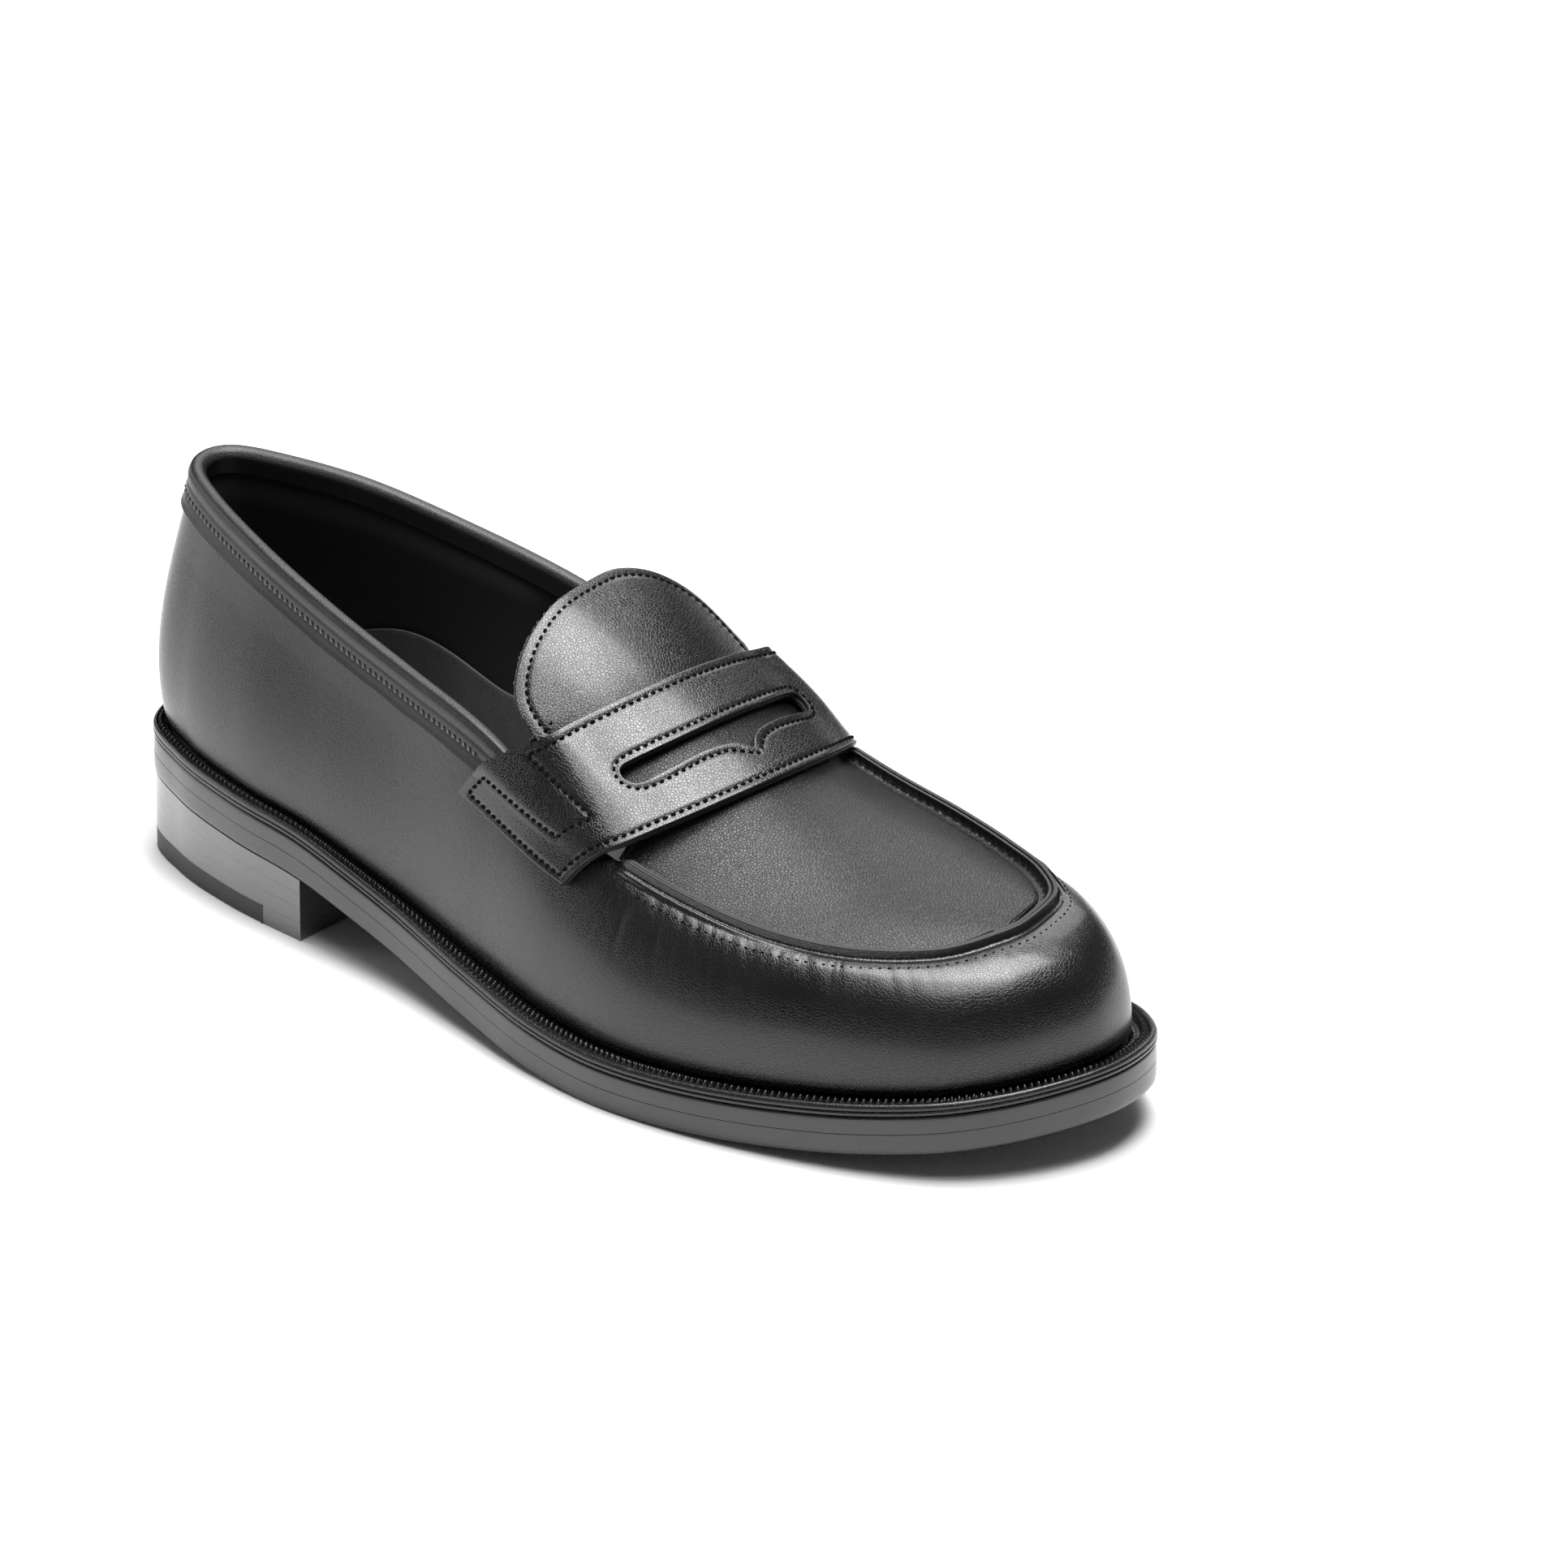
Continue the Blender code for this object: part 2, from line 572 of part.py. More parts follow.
def ridge_weight(a, b):
    """1 along the raised apron seam, 0 along the topline and under the strap."""
    return smooth((np.asarray(a) - np.where(np.asarray(b) > 0, 178.5, 185.0)) / 9.0)


def build_upper_wall():
    """Wrap-round vamp and quarters in one piece, with lasting margin and raised seam edge."""
    at = RING
    s = stations(at)
    w = ridge_weight(s[:, 2], s[:, 3])[:, None]
    f9, f1 = feather(at, 9.0), feather(at, 0.9)
    foot = [np.c_[p, sole_z(p[:, 0]) + MARGIN_Z] for p in (f9, f1)]
    face = list(wall(at, (0.035,) + HS[:6]))
    out, up = np.c_[edge_normal(at), 0 * s[:, 0]], np.array([0, 0, 1.0])
    edge = s[:, 2:5]
    drop = wall(at, (0.94, 0.975, 0.99))
    face.append(drop[0])
    face.append(drop[1] * (1 - w) + (edge + out * 2.0 + up * 0.5) * w)
    face.append(drop[2] * (1 - w) + (edge + out * 1.6 + up * RIDGE_H) * w)
    shell("upper_wall", np.array(foot + face), UPPER_T, "upper", closed=True)


def stiff_window(at):
    """Where the lining stands in to clear the counter at the heel and the puff at the toe."""
    s = stations(at)
    return smooth((96 - s[:, 0]) / 14.0), smooth((s[:, 0] - 228) / 14.0)


def lining_grid(at, hs):
    p = wall(at, hs)
    heel, toe = stiff_window(at)
    h = np.asarray(hs)[:, None]
    k = heel * smooth((0.92 - h) / 0.12) + toe * smooth((1.0 - h) / 0.06)
    return offset(p, -(UPPER_T + GAP + 0.1 + (STIFF_T + GAP) * k))


def build_linings():
    for name, at in (("quarter_lining", ring_between(156.0)), ("vamp_lining", ring_between(-156.5))):
        body = lining_grid(at, (0.09,) + HS)
        heel, toe = stiff_window(at)
        stand = UPPER_T + GAP + (STIFF_T + GAP) * np.maximum(heel, toe)
        foot = []
        for inset in (9.0 + 0 * stand, stand + 1.0):
            p = feather(at, inset)
            foot.append(np.c_[p, sole_z(p[:, 0]) + LINING_Z])
        shell(name, np.array(foot + list(body)), LINING_T, "lining")
    v, t, _ = apron_field()
    rows = [top_at(v, t, f) for f in (0.16, 0.3, 0.6, 1.0)]
    grid = np.array(rows) - np.array([0, 0, UPPER_T + GAP + 0.6])
    grid[-1] = (grid[-1] + grid[-1][::-1]) / 2
    shell("apron_lining", grid, LINING_T, "lining")


def build_stiffeners():
    at = ring_between(78.0)
    grid = offset(wall(at, (0.10,) + HS[:4] + (0.74,)), -(UPPER_T + GAP))
    shell("heel_counter", grid, STIFF_T - 0.2, "stiffener")
    at = ring_between(-246.0)
    grid = offset(wall(at, (0.10,) + HS[:5] + (0.86,)), -(UPPER_T + GAP))
    shell("toe_puff", grid, STIFF_T - 0.2, "stiffener")


def apron_field():
    """Rim of the apron from the outer strap end round the toe to the inner strap end, as (v, t, place)."""
    under = np.array([0.08, 0.7, 1.3, 1.8])
    at = np.linspace(place(1, 178.5), place(-1, 185.0), 35)
    e = stations(at)[:, 2:5]
    tip = int(np.argmax(e[:, 0]))
    va = np.array([r[0, 0] for r in TOP_ROWS]), np.array([r[1, 0] for r in TOP_ROWS])
    v, t = np.zeros(len(at)), np.zeros(len(at))
    for k in range(len(at)):
        side = 0 if k <= tip else 1
        v[k] = np.interp(e[k, 0], va[side], np.arange(len(TOP_ROWS)))
        t[k] = side
    end = [k for k in range(len(at)) if e[k, 0] > va[0 if k <= tip else 1][-1]]
    for n, k in enumerate(end):
        v[k], t[k] = len(TOP_ROWS) - 1, (n + 0.5) / len(end)
    rim_v = np.r_[under, v, under[::-1]]
    rim_t = np.r_[0.06 + 0 * under, t, 0.94 + 0 * under]
    return rim_v, rim_t, np.r_[0 * under - 1, at, 0 * under - 1]


def top_at(v, t, f):
    """Points a fraction f of the way from the rim towards the instep's middle line."""
    vs = np.where(v > 6.5, 6.5 + (v - 6.5) * 0.6, v)
    return np.array([top((a + (b - a) * f,), (c + (0.5 - c) * f,))[0, 0] for a, b, c in zip(v, vs, t)])


def apron_grid():
    """Apron face with its edge turned up against the wall's edge, and flat under the strap."""
    v, t, at = apron_field()
    rows = [top_at(v, t, f) for f in (0.0, 0.03, 0.16, 0.3, 0.6, 1.0)]
    seam = at >= 0
    s = stations(at[seam])
    w = ridge_weight(s[:, 2], s[:, 3])[:, None]
    out, up = np.c_[edge_normal(at[seam]), 0 * s[:, 0]], np.array([0, 0, 1.0])
    rows[0][seam] = s[:, 2:5] - out * (2.2 * w + 1.6 * (1 - w)) + up * RIDGE_H * w
    rows[1][seam] = s[:, 2:5] - out * 3.1 + up * 0.4
    rows[-1] = (rows[-1] + rows[-1][::-1]) / 2
    return np.array(rows)


def build_apron():
    shell("apron", apron_grid(), UPPER_T - 0.2, "upper")
    at = np.linspace(place(1, 190), place(-1, 196), 44)
    s = stations(at)
    out = np.c_[edge_normal(at), 0 * s[:, 0]]
    thread("apron_seam_stitching", s[:, 2:5] + out * 2.7 + np.array([0, 0, 1.6]))
    h = drop_height(at, 5.5)
    low = offset(wall(at, np.array([h - 0.03, h, h + 0.03])), GAP + 0.2 + THREAD_R)[1]
    thread("apron_gather_stitching", low)


def binding_section(at):
    """Strip folded over the topline: rows from the outside hem over the edge to the inside hem."""
    hs = np.array([drop_height(at, BINDING_W * k) for k in (1.0, 0.6, 0.25)])
    face = wall(at, hs)
    n = offset(face, 1.0)[2] - face[2]
    edge, up = wall(at, (0.99,))[0], np.array([0, 0, 1.0])
    deep = UPPER_T + GAP + LINING_T + GAP + 0.2
    over = [edge + n * GAP + up * 0.2, edge - n * (UPPER_T * 0.6) + up * 1.0,
            edge - n * (deep + 0.1) + up * 0.1]
    inner = [face[k] - n * (deep + 0.2) for k in (2, 1)]
    return np.array(list(offset(face, GAP + 0.05)) + over + inner)


def topline_places(n, a_out, a_in):
    return np.linspace(place(-1, a_in) - 1.0, place(1, a_out), n)


def build_binding():
    rear = RING - (RING > 0.5)
    rear = np.sort(rear)
    at = rear[(rear > place(-1, 147) - 1.0) & (rear < place(1, 140))]
    shell("topline_binding", binding_section(at), BINDING_T, "binding", side=1.0)
    at = topline_places(54, 131, 134)
    h = drop_height(at, 6.2)
    row = offset(wall(at, np.array([h - 0.03, h, h + 0.03])), 2 * GAP + BINDING_T + 0.15 + THREAD_R)[1]
    thread("topline_stitching", row)


# ---------------------------------------------------------------- strap and tongue

OUTER_END = ((0.2165, 0.676), (0.2341, 0.97), (0.2762, 0.624), (0.2925, 0.97))


def side_corners(side):
    """Strap end on the wall, as (place, height): rear low, rear high, front low, front high."""
    if side > 0:
        return OUTER_END
    rear = ((place(-1, 131), 0.68), (place(-1, 144), 0.97))
    return rear + ((place(-1, 172.5), 0.60), (place(-1, 182.5), 0.97))


CROWN = np.array((0.03, 0.12, 0.28, 0.5, 0.72, 0.88, 0.97))   # shares across the instep


def strap_surface(v, s):
    """Underside of the strap: v 0 rear to 1 front, s -1 outer end, 0 middle, 1 inner end."""
    v = np.asarray(v, float)
    knots = []
    for side in (1, -1):
        c0, c1, c2, c3 = side_corners(side)
        for k in (0.0, 0.45, 0.9):
            at = (c0[0] + (c1[0] - c0[0]) * k) * (1 - v) + (c2[0] + (c3[0] - c2[0]) * k) * v
            h = (c0[1] + (c1[1] - c0[1]) * k) * (1 - v) + (c2[1] + (c3[1] - c2[1]) * k) * v
            w = wall(at, np.array([h - 0.02, h, h + 0.02]))
            knots.append(offset(w, 1.5)[1])
    crown = offset(top(v * 2.0, CROWN), np.array([1.0, 0.6, 0.5, 0.5, 0.5, 0.6, 1.0]))
    rows = knots[:3] + [crown[:, k] for k in range(len(CROWN))] + knots[3:][::-1]
    return open_spline(np.array(rows), (np.asarray(s, float) + 1) / 2 * (len(rows) - 1))


def strap_s(t):
    """Position along the strap for a fraction t across its crown."""
    return np.interp(t, CROWN, (np.arange(len(CROWN)) + 3) / 6.0 - 1)


def slot_outline(grow=0.0):
    """Slot as (s, v): straight rear edge, round ends, two humps and a point at the front.

    The first half runs along the rear edge and the second back along the front, in matching steps.
    """
    rear, hump, point = 0.43 - grow * 0.028, 0.575 + grow * 0.028, 0.71 + grow * 0.035
    lo, hi = SLOT[0] - grow * 0.011, SLOT[1] + grow * 0.011
    t = [lo, lo + 0.012, lo + 0.05, 0.34, 0.42, 0.465, 0.5, 0.535, 0.58, 0.66, hi - 0.05, hi - 0.012, hi]
    back = [rear + 0.05, rear + 0.012] + [rear] * 9 + [rear + 0.012, rear + 0.05]
    front = [rear + 0.08, hump, hump + 0.03, hump + 0.012, hump + 0.02, hump + 0.045, point,
             hump + 0.045, hump + 0.02, hump + 0.012, hump + 0.03, hump, rear + 0.08]
    ss = [float(strap_s(x)) for x in t]
    return np.array(list(zip(ss, back)) + list(zip(ss, front))[::-1])


def strap_points(sv, lift):
    """Points above the strap's underside for scattered (s, v)."""
    out = []
    for s, v in sv:
        g = strap_surface(np.clip([v - 0.02, v, v + 0.02], -0.01, 1.01), np.array([s - 0.02, s, s + 0.02]))
        out.append(offset(g, lift)[1, 1])
    return np.array(out)


def build_strap():
    s = np.r_[np.linspace(-1, -0.5, 7), np.linspace(-0.4, 0.4, 9), np.linspace(0.5, 1, 7)]
    v = np.linspace(0, 1, 6)
    under = strap_surface(v, s)
    backing = shell("strap_backing", under, STRAP_T - 0.15, "suede", side=1.0)
    strap = shell("strap", offset(under, STRAP_T + 0.15), STRAP_T, "strap", side=1.0)
    loop = slot_outline()
    lo, hi = strap_points(loop, -2.2), strap_points(loop, 5.0)
    n = len(loop)
    faces = [(j, (j + 1) % n, n + (j + 1) % n, n + j) for j in range(n)]
    for base in (0, n):
        faces += [(base + j, base + j + 1, base + n - 2 - j, base + n - 1 - j) for j in range(n // 2 - 1)]
    tool = mesh_object("slot_tool", world(np.r_[lo, hi]), faces, "strap", link=False)
    tool = cutter("slot_cutter", tool.data)
    cut(strap, tool)
    cut(backing, tool)
    build_strap_threads()


def densify(sv, step):
    sv = np.asarray(sv, float)
    out = [sv[0]]
    for p, q in zip(sv[:-1], sv[1:]):
        k = max(1, int(round(np.linalg.norm((q - p) * np.array([90.0, 34.0])) / step)))
        out += [p + (q - p) * (i + 1) / k for i in range(k)]
    return np.array(out)


def build_strap_threads():
    height = 2 * STRAP_T + 0.15 + 0.65 + THREAD_R
    half = [(0.0, 0.07), (-0.56, 0.08), (-0.53, 0.70), (-0.74, 0.72), (-0.76, 0.09), (-0.95, 0.08),
            (-0.955, 0.94), (-0.6, 0.94), (0.0, 0.94)]
    loop = half + [(-s, v) for s, v in half[::-1][1:]]
    path = densify(loop, 8.0)[:-1]
    thread("strap_stitching", strap_points(path, height), cyclic=True)
    sv = slot_outline(grow=1.6)
    thread("slot_stitching", strap_points(sv, height), cyclic=True)


def tongue_grid(n=15, m=6):
    """Tongue between the strap's rear edge and its own rounded rear edge."""
    t = np.linspace(0.02, 0.98, n)
    root = top((-0.04,), t)[0] - np.array([0.6, 0, 0])
    rim = open_spline(TONGUE_EDGE, t * (len(TONGUE_EDGE) - 1))
    u = np.linspace(0, 1, m)[:, None, None]
    bow = np.array([0, 0, 1.0]) * 1.6 * (4 * u * (1 - u)) * np.sin(np.pi * t)[None, :, None]
    return root * (1 - u) + rim * u + bow


def build_tongue():
    g = tongue_grid()
    shell("tongue", g, TONGUE_T, "strap")
    inner = offset(g, -(TONGUE_T + GAP + 0.1))[:, 1:-1]
    shell("tongue_lining", inner, 0.8, "suede")
    n, m = 22, 12
    fine = offset(tongue_grid(n, m), 0.3 + THREAD_R)
    edge = [fine[k, 1] for k in range(1, m - 2)] + [fine[m - 2, j] for j in range(2, n - 2)] + \
           [fine[k, n - 2] for k in range(m - 3, 0, -1)]
    thread("tongue_stitching", np.array(edge))


MAIN = CUTTERS = None


def main():
    global MAIN, CUTTERS
    clear_scene()
    MAIN = collection(NAME)
    CUTTERS = collection(NAME + "_cutters")
    build_bottom()
    build_shank()
    build_welt()
    build_heel()
    build_upper_wall()
    build_linings()
    build_stiffeners()
    build_apron()
    build_binding()
    build_strap()
    build_tongue()
    tilt = Vector(world((160.0, -4.5, 82.0)))
    for name in ("tongue", "tongue_lining"):
        ob = bpy.data.objects[name]
        for v in ob.data.vertices:
            v.co = v.co - tilt
        ob.location = tilt


main()
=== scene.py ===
"""Looks of the penny loafer: detailed leather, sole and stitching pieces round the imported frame.

Shape is worked out in millimetres as (a, b, z), as in the part: a forward from the heel's back,
b towards the outer side, z up. World metres: toe towards -Y, outer side towards -X.
"""
import math

import bmesh
import bpy
import numpy as np
from mathutils import Matrix, Vector

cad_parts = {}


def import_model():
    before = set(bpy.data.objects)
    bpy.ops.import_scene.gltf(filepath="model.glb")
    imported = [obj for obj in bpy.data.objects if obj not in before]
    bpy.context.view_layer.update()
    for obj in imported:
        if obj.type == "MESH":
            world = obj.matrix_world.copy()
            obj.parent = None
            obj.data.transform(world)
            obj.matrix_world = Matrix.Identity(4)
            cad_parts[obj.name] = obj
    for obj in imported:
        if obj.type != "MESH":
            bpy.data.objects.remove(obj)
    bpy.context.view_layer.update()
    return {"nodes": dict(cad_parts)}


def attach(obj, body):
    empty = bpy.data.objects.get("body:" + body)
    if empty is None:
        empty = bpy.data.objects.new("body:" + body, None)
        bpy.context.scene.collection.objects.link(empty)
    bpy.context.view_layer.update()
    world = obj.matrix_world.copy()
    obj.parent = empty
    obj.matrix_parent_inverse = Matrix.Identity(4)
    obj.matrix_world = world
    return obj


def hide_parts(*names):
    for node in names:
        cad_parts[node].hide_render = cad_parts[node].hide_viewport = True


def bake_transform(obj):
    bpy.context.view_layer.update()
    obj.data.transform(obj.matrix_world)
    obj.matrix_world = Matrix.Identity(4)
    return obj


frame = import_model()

LENGTH = 300.0            # outsole length, mm
MID_B = 5.38              # b of the bounding box's middle
BREAST_A = 72.0           # front face of the heel
BREAST_H = 16.8           # height of the sole's underside there
PITCH = 0.06              # rise of the heel seat per mm backwards
GROUND_A = 186.0          # where the sole meets the floor
SPRING = 11.3             # toe spring
MARGIN_Z = 12.8           # underside of the upper's lasting margin, above the sole's underside
UPPER_T = 1.4             # upper leather
LINING_T = 0.9
SOCK_Z = 18.3             # sock's underside above the sole's underside
RIDGE_H = 3.0             # raised apron seam
STRAP_T = 1.2             # each of the strap's two layers
TONGUE_T = 1.3
THREAD_R = 0.3            # radius of the thread
STITCH = 2.2              # stitch pitch
STITCH_INSET = 2.6        # stitch row to the tongue's edge
SEED = 7

# Places round the shoe, outer side first: sole outline (a, b), upper edge (a, b, z), and the handles of
# the wall's curve between them: rise at the welt, run and drop at the upper edge (shares of the way),
# and bulge outwards at both (mm).
STATIONS = np.array([
    (0.0, -4.0, 6.5, -5.5, 98.5, .36, .0, .34, 6.8, 5.2),
    (5.5, 14.0, 9.6, 2.0, 97.6, .36, .0, .34, 5.8, 4.6),
    (22.0, 23.7, 20.5, 8.0, 95.2, .34, .0, .34, 4.0, 3.6),
    (45.0, 30.6, 42.0, 15.2, 90.6, .34, .0, .34, 2.4, 2.8),
    (75.0, 35.0, 72.0, 21.6, 83.4, .34, .0, .34, 1.5, 2.0),
    (105.0, 39.6, 102.0, 26.8, 77.2, .36, .0, .34, 1.5, 2.0),
    (135.0, 47.6, 131.0, 32.0, 71.4, .38, .1, .26, 1.5, 2.0),
    (165.0, 55.6, 161.0, 37.0, 60.3, .42, .3, .14, 2.0, 1.0),
    (190.0, 58.7, 184.0, 37.8, 52.6, .50, .4, .04, 2.0, 0.5),
    (213.0, 57.4, 208.0, 36.4, 47.8, .60, .45, .0, 1.8, 0.0),
    (238.0, 52.6, 229.0, 33.3, 45.8, .68, .5, -.04, 1.5, 0.0),
    (261.0, 45.4, 247.0, 27.0, 45.6, .74, .5, -.08, 1.2, 0.0),
    (280.0, 35.0, 261.0, 17.0, 46.6, .78, .5, -.10, 1.0, 0.0),
    (293.0, 19.3, 268.0, 6.0, 48.6, .80, .5, -.10, 1.0, 0.0),
    (300.0, -6.0, 269.5, -6.0, 49.8, .80, .5, -.10, 1.0, 0.0),
    (295.5, -21.3, 266.0, -18.0, 50.2, .78, .5, -.10, 1.0, 0.0),
    (283.0, -33.4, 256.0, -26.5, 50.3, .74, .5, -.08, 1.2, 0.0),
    (263.0, -41.8, 240.0, -33.0, 50.5, .66, .5, -.04, 1.5, 0.0),
    (240.0, -46.8, 222.0, -37.0, 51.8, .56, .45, .0, 2.0, 0.5),
    (213.0, -47.8, 200.0, -39.5, 54.0, .46, .35, .08, 2.5, 1.0),
    (185.0, -43.3, 177.0, -41.0, 58.3, .40, .2, .16, 3.0, 1.5),
    (155.0, -35.9, 152.0, -40.0, 65.0, .38, .1, .24, 3.0, 2.0),
    (125.0, -31.5, 125.0, -38.0, 73.6, .36, .0, .34, 2.5, 2.0),
    (95.0, -31.4, 97.0, -37.3, 81.0, .34, .0, .34, 1.5, 2.0),
    (70.0, -34.3, 69.0, -33.0, 87.6, .34, .0, .34, 1.5, 2.0),
    (45.0, -36.3, 42.0, -26.2, 94.0, .34, .0, .34, 2.4, 2.8),
    (22.0, -32.6, 20.5, -18.6, 97.2, .34, .0, .34, 4.0, 3.6),
    (5.5, -22.0, 9.6, -12.8, 98.4, .36, .0, .34, 5.8, 4.6),
])

# Rear edge of the tongue, outer root to inner root.
TONGUE_EDGE = np.array([
    (148.4, 31.3, 73.6), (138.8, 29.2, 81.2), (133.4, 21.0, 89.8), (131.0, 8.0, 97.0),
    (130.9, -6.0, 99.3), (131.6, -17.0, 99.2), (134.8, -28.0, 94.9), (140.9, -36.6, 86.8),
    (153.8, -40.8, 74.8)])

UP = np.array([0.0, 0.0, 1.0])


# ---------------------------------------------------------------- curves and surfaces of the last

def smooth(x):
    """Soft step from 0 to 1 as x goes from 0 to 1."""
    x = np.clip(x, 0.0, 1.0)
    return x * x * (3 - 2 * x)


def unit(vectors):
    return vectors / np.linalg.norm(vectors, axis=-1, keepdims=True)


def run_along(points):
    """Distance from the first point to each point of a path."""
    return np.r_[0, np.cumsum(np.linalg.norm(np.diff(points, axis=0), axis=1))]


def stations(at):
    """Every column of STATIONS at fractions round the shoe, by closed cubic curves."""
    rows = STATIONS
    dt = np.linalg.norm(np.roll(rows[:, :2], -1, axis=0) - rows[:, :2], axis=1)
    t = np.r_[0.0, np.cumsum(dt)]
    q = np.mod(np.asarray(at, float) * t[-1], t[-1])
    dn, dp = dt[:, None], np.roll(dt, 1)[:, None]
    nxt, prv = np.roll(rows, -1, axis=0), np.roll(rows, 1, axis=0)
    m = (dp * (nxt - rows) / dn + dn * (rows - prv) / dp) / (dn + dp)
    i = np.clip(np.searchsorted(t, q, side="right") - 1, 0, len(rows) - 1)
    h, j = dt[i][:, None], (i + 1) % len(rows)
    u = ((q - t[i]) / dt[i])[:, None]
    return ((2 * u ** 3 - 3 * u ** 2 + 1) * rows[i] + (u ** 3 - 2 * u ** 2 + u) * h * m[i]
            + (-2 * u ** 3 + 3 * u ** 2) * rows[j] + (u ** 3 - u ** 2) * h * m[j])


def open_spline(rows, q):
    """Catmull-Rom curve through rows sitting at whole numbers 0, 1, 2..."""
    rows = np.asarray(rows, float)
    n = len(rows)
    q = np.clip(np.atleast_1d(np.asarray(q, float)), 0, n - 1)
    i = np.minimum(q.astype(int), n - 2)
    ext = np.concatenate([[2 * rows[0] - rows[1]], rows, [2 * rows[-1] - rows[-2]]])
    u = (q - i).reshape((-1,) + (1,) * (rows.ndim - 1))
    p0, p1, p2, p3 = ext[i], ext[i + 1], ext[i + 2], ext[i + 3]
    return 0.5 * (2 * p1 + (p2 - p0) * u + (2 * p0 - 5 * p1 + 4 * p2 - p3) * u ** 2
                  + (3 * p1 - p0 - 3 * p2 + p3) * u ** 3)


def sole_z(a):
    """Height of the sole's underside above the floor."""
    a = np.asarray(a, float)
    u = np.clip((a - BREAST_A) / (GROUND_A - BREAST_A), 0, 1)
    rear = np.where(a < BREAST_A, BREAST_H + PITCH * (BREAST_A - a), BREAST_H * (1 - u) ** 1.65)
    rear = rear - 0.0038 * np.clip(12.0 - np.abs(a - BREAST_A), 0, None) ** 2
    return rear + SPRING * np.clip((a - GROUND_A) / (LENGTH - GROUND_A), 0, 1) ** 2


def over(p, h):
    """Points (a, b) lifted h mm above the sole's underside."""
    return np.c_[p, sole_z(p[:, 0]) + h]


def welt_width(a):
    """Visible welt outside the upper."""
    return 3.6 + 2.6 * smooth((np.asarray(a) - 60) / 120.0)


def loop_normals(p):
    """Normals of a closed flat loop of points, each square to its neighbours' line."""
    t = unit(np.roll(p, -1, axis=0) - np.roll(p, 1, axis=0))
    return np.c_[-t[:, 1], t[:, 0]]


FINE_STEPS = 720
FINE = np.linspace(0, 1, FINE_STEPS + 1)
FINE_NRM = loop_normals(stations(FINE[:-1])[:, :2])
TIP = int(np.argmax(stations(FINE[:-1])[:, 0]))


def edge_normal(at):
    """Direction (a, b) out of the sole outline."""
    q = np.mod(np.asarray(at, float), 1.0) * FINE_STEPS
    i = q.astype(int) % FINE_STEPS
    return unit(FINE_NRM[i] * (1 - q % 1)[:, None] + FINE_NRM[(i + 1) % FINE_STEPS] * (q % 1)[:, None])


def outward(at):
    """Level direction (a, b, 0) out of the shoe."""
    return np.c_[edge_normal(at), np.zeros(len(at))]


def outline(at, inset=0.0):
    """Sole outline (a, b) moved inwards by inset."""
    at = np.asarray(at, float)
    return stations(at)[:, :2] - edge_normal(at) * np.broadcast_to(inset, at.shape)[:, None]


def feather(at, inset=0.0):
    """Line where the upper meets the welt."""
    return outline(at, welt_width(stations(at)[:, 0]) + inset)


def wall(at, h):
    """Outer face of the upper: h from 0 at the welt to 1 at the upper edge; h can differ per place."""
    at = np.asarray(at, float)
    s = stations(at)
    f = feather(at)
    zf = sole_z(f[:, 0]) + MARGIN_Z
    foot, edge = np.c_[f, zf], s[:, 2:5]
    tall = (edge[:, 2] - zf)[:, None]
    out = outward(at)
    k1, k2, k3, o1, o2 = (s[:, i:i + 1] for i in range(5, 10))
    c1 = foot + out * o1 + UP * k1 * tall
    c2 = edge + (foot - edge) * np.array([1, 1, 0]) * k2 + out * o2 - UP * k3 * tall
    u = np.atleast_1d(np.asarray(h, float))
    u = np.broadcast_to(u[:, None] if u.ndim == 1 else u, (u.shape[0], len(at)))[:, :, None]
    return (1 - u) ** 3 * foot + 3 * (1 - u) ** 2 * u * c1 + 3 * (1 - u) * u ** 2 * c2 + u ** 3 * edge


def top_edge(side, a):
    """Point of the wall's upper edge at a; side +1 outer, -1 inner."""
    e = stations(FINE)[:, 2:5]
    k = int(np.argmax(e[:, 0]))
    e = e[:k + 1] if side > 0 else e[k:][::-1]
    return np.array([a, np.interp(a, e[:, 0], e[:, 1]), np.interp(a, e[:, 0], e[:, 2])])


def place(side, a):
    """Fraction round the shoe where the upper edge reaches a."""
    e = stations(FINE)[:, 2]
    k = int(np.argmax(e))
    if side > 0:
        return np.interp(a, e[:k + 1], FINE[:k + 1])
    return np.interp(a, e[k:][::-1], FINE[k:][::-1])


def drop_height(at, drop):
    """Wall height h that lies drop mm below the upper edge, measured along the wall."""
    hs = np.linspace(0, 1, 121)
    p = wall(at, hs)
    d = np.linalg.norm(np.diff(p, axis=0), axis=2)[::-1]
    run = np.vstack([np.zeros(len(at)), np.cumsum(d, axis=0)])
    drop = np.broadcast_to(drop, (len(at),))
    return np.array([np.interp(drop[k], run[:, k], hs[::-1]) for k in range(len(at))])


def grid_normals(p, wrap=False):
    """Unit normals of a grid of points, away from the inside of the shoe."""
    du = np.gradient(p, axis=0)
    dv = (np.roll(p, -1, axis=1) - np.roll(p, 1, axis=1)) / 2 if wrap else np.gradient(p, axis=1)
    n = np.cross(du, dv)
    n = n / np.maximum(np.linalg.norm(n, axis=2), 1e-9)[:, :, None]
    return n * np.sign(np.sum(n * (p - np.array([150.0, -3.0, 40.0]))))


def offset(p, d):
    """Grid moved d mm along its normals, positive away from the inside of the shoe."""
    return p + grid_normals(p) * (np.broadcast_to(d, p.shape[:2])[..., None] if np.ndim(d) else d)


